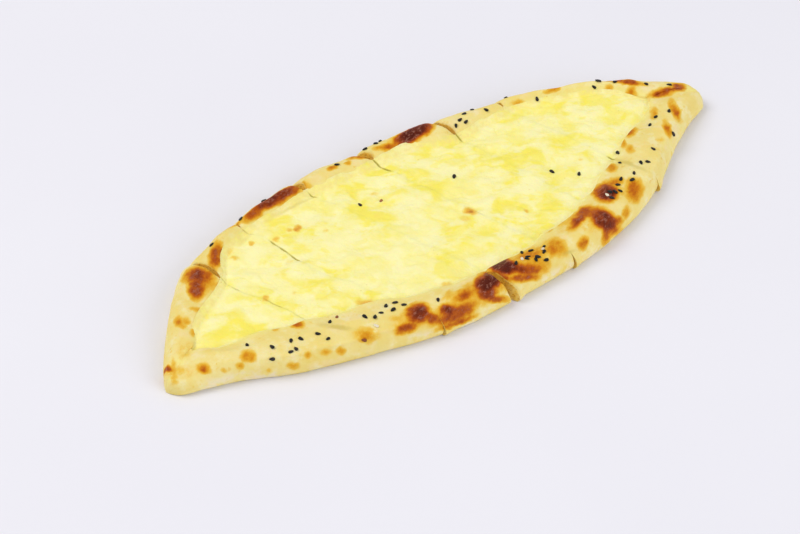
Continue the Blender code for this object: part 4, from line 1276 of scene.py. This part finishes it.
def cheese_material():
    """Melted cheese: pale yellow with deeper yellow pools, cream shreds and toasted dots."""
    n = Nodes("melted cheese")
    broad = n.noise(70.0, 3.0, 0.5, n.stretch((1.3, 1.0, 1.0), STREAK_ANGLE), 0.35)
    small = n.noise(165.0, 3.0, 0.5, n.stretch((1.6, 1.0, 1.0), STREAK_ANGLE), 0.3)
    veil = n.noise(24.0, 2.0, 0.5)
    fine = n.noise(260.0, 4.0, 0.6)
    tone = n.field("tone")
    pools = n.times(n.field("lemon"), n.range(broad, 0.38, 0.56, 0.15, 1.0))
    streaks = n.times(n.field("crease"), 0.5)
    yellow = n.plus(n.math("MAXIMUM", pools, streaks), n.range(broad, 0.49, 0.62, 0.0, 0.60), clamp=True)
    yellow = n.plus(yellow, n.range(small, 0.55, 0.64, 0.0, 0.42), clamp=True)
    yellow = n.times(yellow, n.range(veil, 0.36, 0.58, 0.35, 1.2), clamp=True)
    yellow = n.plus(yellow, n.swing(fine, 0.35), clamp=True)
    base = n.mix(yellow, (0.93, 0.86, 0.34), (0.91, 0.795, 0.11))
    pale = n.mix(yellow, (0.945, 0.885, 0.43), (0.93, 0.83, 0.19))
    colour = n.mix(n.math("MAXIMUM", n.range(tone, 0.42, 0.80), n.range(broad, 0.50, 0.38)), base, pale)
    pink = n.times(n.range(tone, 0.74, 0.92), n.range(fine, 0.35, 0.65))
    colour = n.mix(n.times(pink, 0.45), colour, (0.96, 0.85, 0.50))
    # Painted shade: an olive tint where the shreds' tone is low, standing in for shade in the cheese's
    # dips
    painted_dip_shade = n.times(n.range(tone, 0.30, 0.12), n.range(n.noise(80.0, 3.0), 0.46, 0.66))
    colour = n.mix(n.times(painted_dip_shade, 0.45), colour, (0.84, 0.77, 0.17))
    specks = n.range(n.cells(170.0), 0.0, 0.13, 1.0, 0.0)
    specks = n.times(specks, n.range(n.noise(60.0, 2.0), 0.56, 0.66))
    colour = n.mix(n.times(specks, 0.5), colour, (0.62, 0.45, 0.07))
    toast = n.field("toast")
    stir = n.swing(fine, 2.2)
    burnt = n.plus(toast, n.times(stir, toast), clamp=True)
    done = n.ramp(burnt, (
        (0.0, (0.90, 0.80, 0.24)), (0.2, (0.88, 0.64, 0.10)),
        (0.42, (0.78, 0.38, 0.03)), (0.8, (0.34, 0.07, 0.01)),
    ))
    colour = n.mix(n.range(burnt, 0.03, 0.24), colour, done)
    border = n.times(n.field("rimward"), n.range(fine, 0.35, 0.65, 0.2, 0.8))
    colour = n.mix(border, colour, (0.86, 0.72, 0.25))
    # Olive marks: partly torn crumb and partly painted shade in the folds and grooves along the cuts
    colour = n.mix(n.times(n.field("smear_and_fold_shade"), 0.85), colour, (0.66, 0.54, 0.12))
    # Painted shade: dark olive in the open cracks and down the cheese's sides
    colour = n.mix(n.range(n.field("crack_shade"), 0.10, 0.90, 0.0, 0.85), colour, (0.50, 0.42, 0.05))
    rough = n.range(fine, 0.3, 0.7, 0.36, 0.54)
    normal = n.bump(n.noise(700.0, 3.0, 0.55), 0.00022, 0.6)
    normal = n.bump(fine, 0.0006, 0.6, normal)
    n.shader.inputs["Specular IOR Level"].default_value = 0.32
    n.glow(0.18, (1.0, 0.7, 0.25), 0.003)
    return n.finish(colour, rough, normal)


def seed_material(name, dark, light, rough):
    """A seed's skin: two close shades, a fine net and a dry gloss."""
    n = Nodes(name)
    grain = n.noise(2600.0, 3.0, 0.6)
    share = n.plus(n.times(n.field("tone"), 0.5), n.times(grain, 0.6))
    colour = n.mix(n.range(share, 0.30, 0.85), dark, light)
    net = n.cells(4200.0, "DISTANCE_TO_EDGE")
    normal = n.bump(n.range(net, 0.0, 0.15), 0.00005, 0.8)
    roughness = n.range(grain, 0.3, 0.7, rough - 0.06, rough + 0.12)
    n.shader.inputs["Specular IOR Level"].default_value = 0.28
    return n.finish(colour, roughness, normal)


def floor_material():
    """Pale, matt studio floor."""
    n = Nodes("studio floor")
    cloud = n.noise(3.0, 3.0)
    colour = n.mix(n.range(cloud, 0.3, 0.7), (0.800, 0.792, 0.842), (0.815, 0.808, 0.856))
    normal = n.bump(n.noise(180.0, 3.0), 0.0002, 0.1)
    return n.finish(colour, n.range(cloud, 0.2, 0.8, 0.80, 0.88), normal)


def soft_light(name, place, target, size, power, colour):
    """A large square lamp that faces a point."""
    lamp = bpy.data.lights.new(name, "AREA")
    lamp.shape = "SQUARE"
    lamp.size = size
    lamp.energy = power
    lamp.color = colour
    holder = bpy.data.objects.new(name, lamp)
    holder.location = place
    holder.rotation_euler = (Vector(target) - Vector(place)).to_track_quat("-Z", "Y").to_euler()
    bpy.context.scene.collection.objects.link(holder)


def studio():
    """Floor, lights, camera and how light turns into colour."""
    scene = bpy.context.scene
    half = 4.0
    mesh = bpy.data.meshes.new("floor")
    corners = [(-half, -half, 0.0), (half, -half, 0.0), (half, half, 0.0), (-half, half, 0.0)]
    mesh.from_pydata(corners, [], [(0, 1, 2, 3)])
    mesh.materials.append(floor_material())
    floor = bpy.data.objects.new("floor", mesh)
    floor.location.z = -0.0002
    scene.collection.objects.link(floor)
    world = bpy.data.worlds.new("studio air")
    world.use_nodes = True
    sky = world.node_tree.nodes["Background"]
    sky.inputs["Color"].default_value = (0.97, 0.97, 1.0, 1.0)
    sky.inputs["Strength"].default_value = 0.62
    scene.world = world
    soft_light("key", (-1.9, 1.9, 3.4), (0.0, 0.0, 0.0), 2.6, 84.0, (1.0, 0.985, 0.96))
    soft_light("fill", (0.8, -3.2, 1.6), (0.0, 0.0, 0.0), 2.6, 52.0, (0.97, 0.98, 1.0))
    camera = bpy.data.cameras.new("camera")
    camera.lens = CAMERA_LENS
    camera.sensor_width = SENSOR_WIDTH
    camera.clip_start = 0.02
    holder = bpy.data.objects.new("camera", camera)
    turn = Matrix([list(axis) for axis in camera_axes()]).transposed().to_4x4()
    turn.translation = Vector(CAMERA_PLACE)
    holder.matrix_world = turn
    scene.collection.objects.link(holder)
    scene.camera = holder
    scene.view_settings.view_transform = "Standard"
    scene.view_settings.look = "None"
    scene.view_settings.exposure = 0.0
    scene.view_settings.gamma = 1.0


def main():
    dough, cheese = crust_material(), cheese_material()
    maps = draw_shreds()
    carriers = [crust_piece(piece, dough) for piece in range(len(CUTS) + 1)]
    carriers += [cheese_piece(piece, maps, cheese) for piece in range(len(CUTS) + 1)]
    bpy.context.view_layer.update()
    black = seed_material("black seed skin", (0.004, 0.003, 0.003), (0.022, 0.017, 0.014), 0.36)
    pale = seed_material("pale seed skin", (0.80, 0.66, 0.42), (0.90, 0.82, 0.64), 0.45)
    toasted = seed_material("toasted fleck skin", (0.20, 0.05, 0.02), (0.42, 0.16, 0.06), 0.5)
    lay_seeds("seeds_black", BLACK_SEEDS, carriers, black, 1.0, 101)
    lay_seeds("seeds_pale", PALE_SEEDS, carriers, pale, 0.95, 102)
    lay_seeds("flecks_toasted", FLECKS, carriers, toasted, 0.9, 103)
    studio()


main()
bpy.context.view_layer.update()
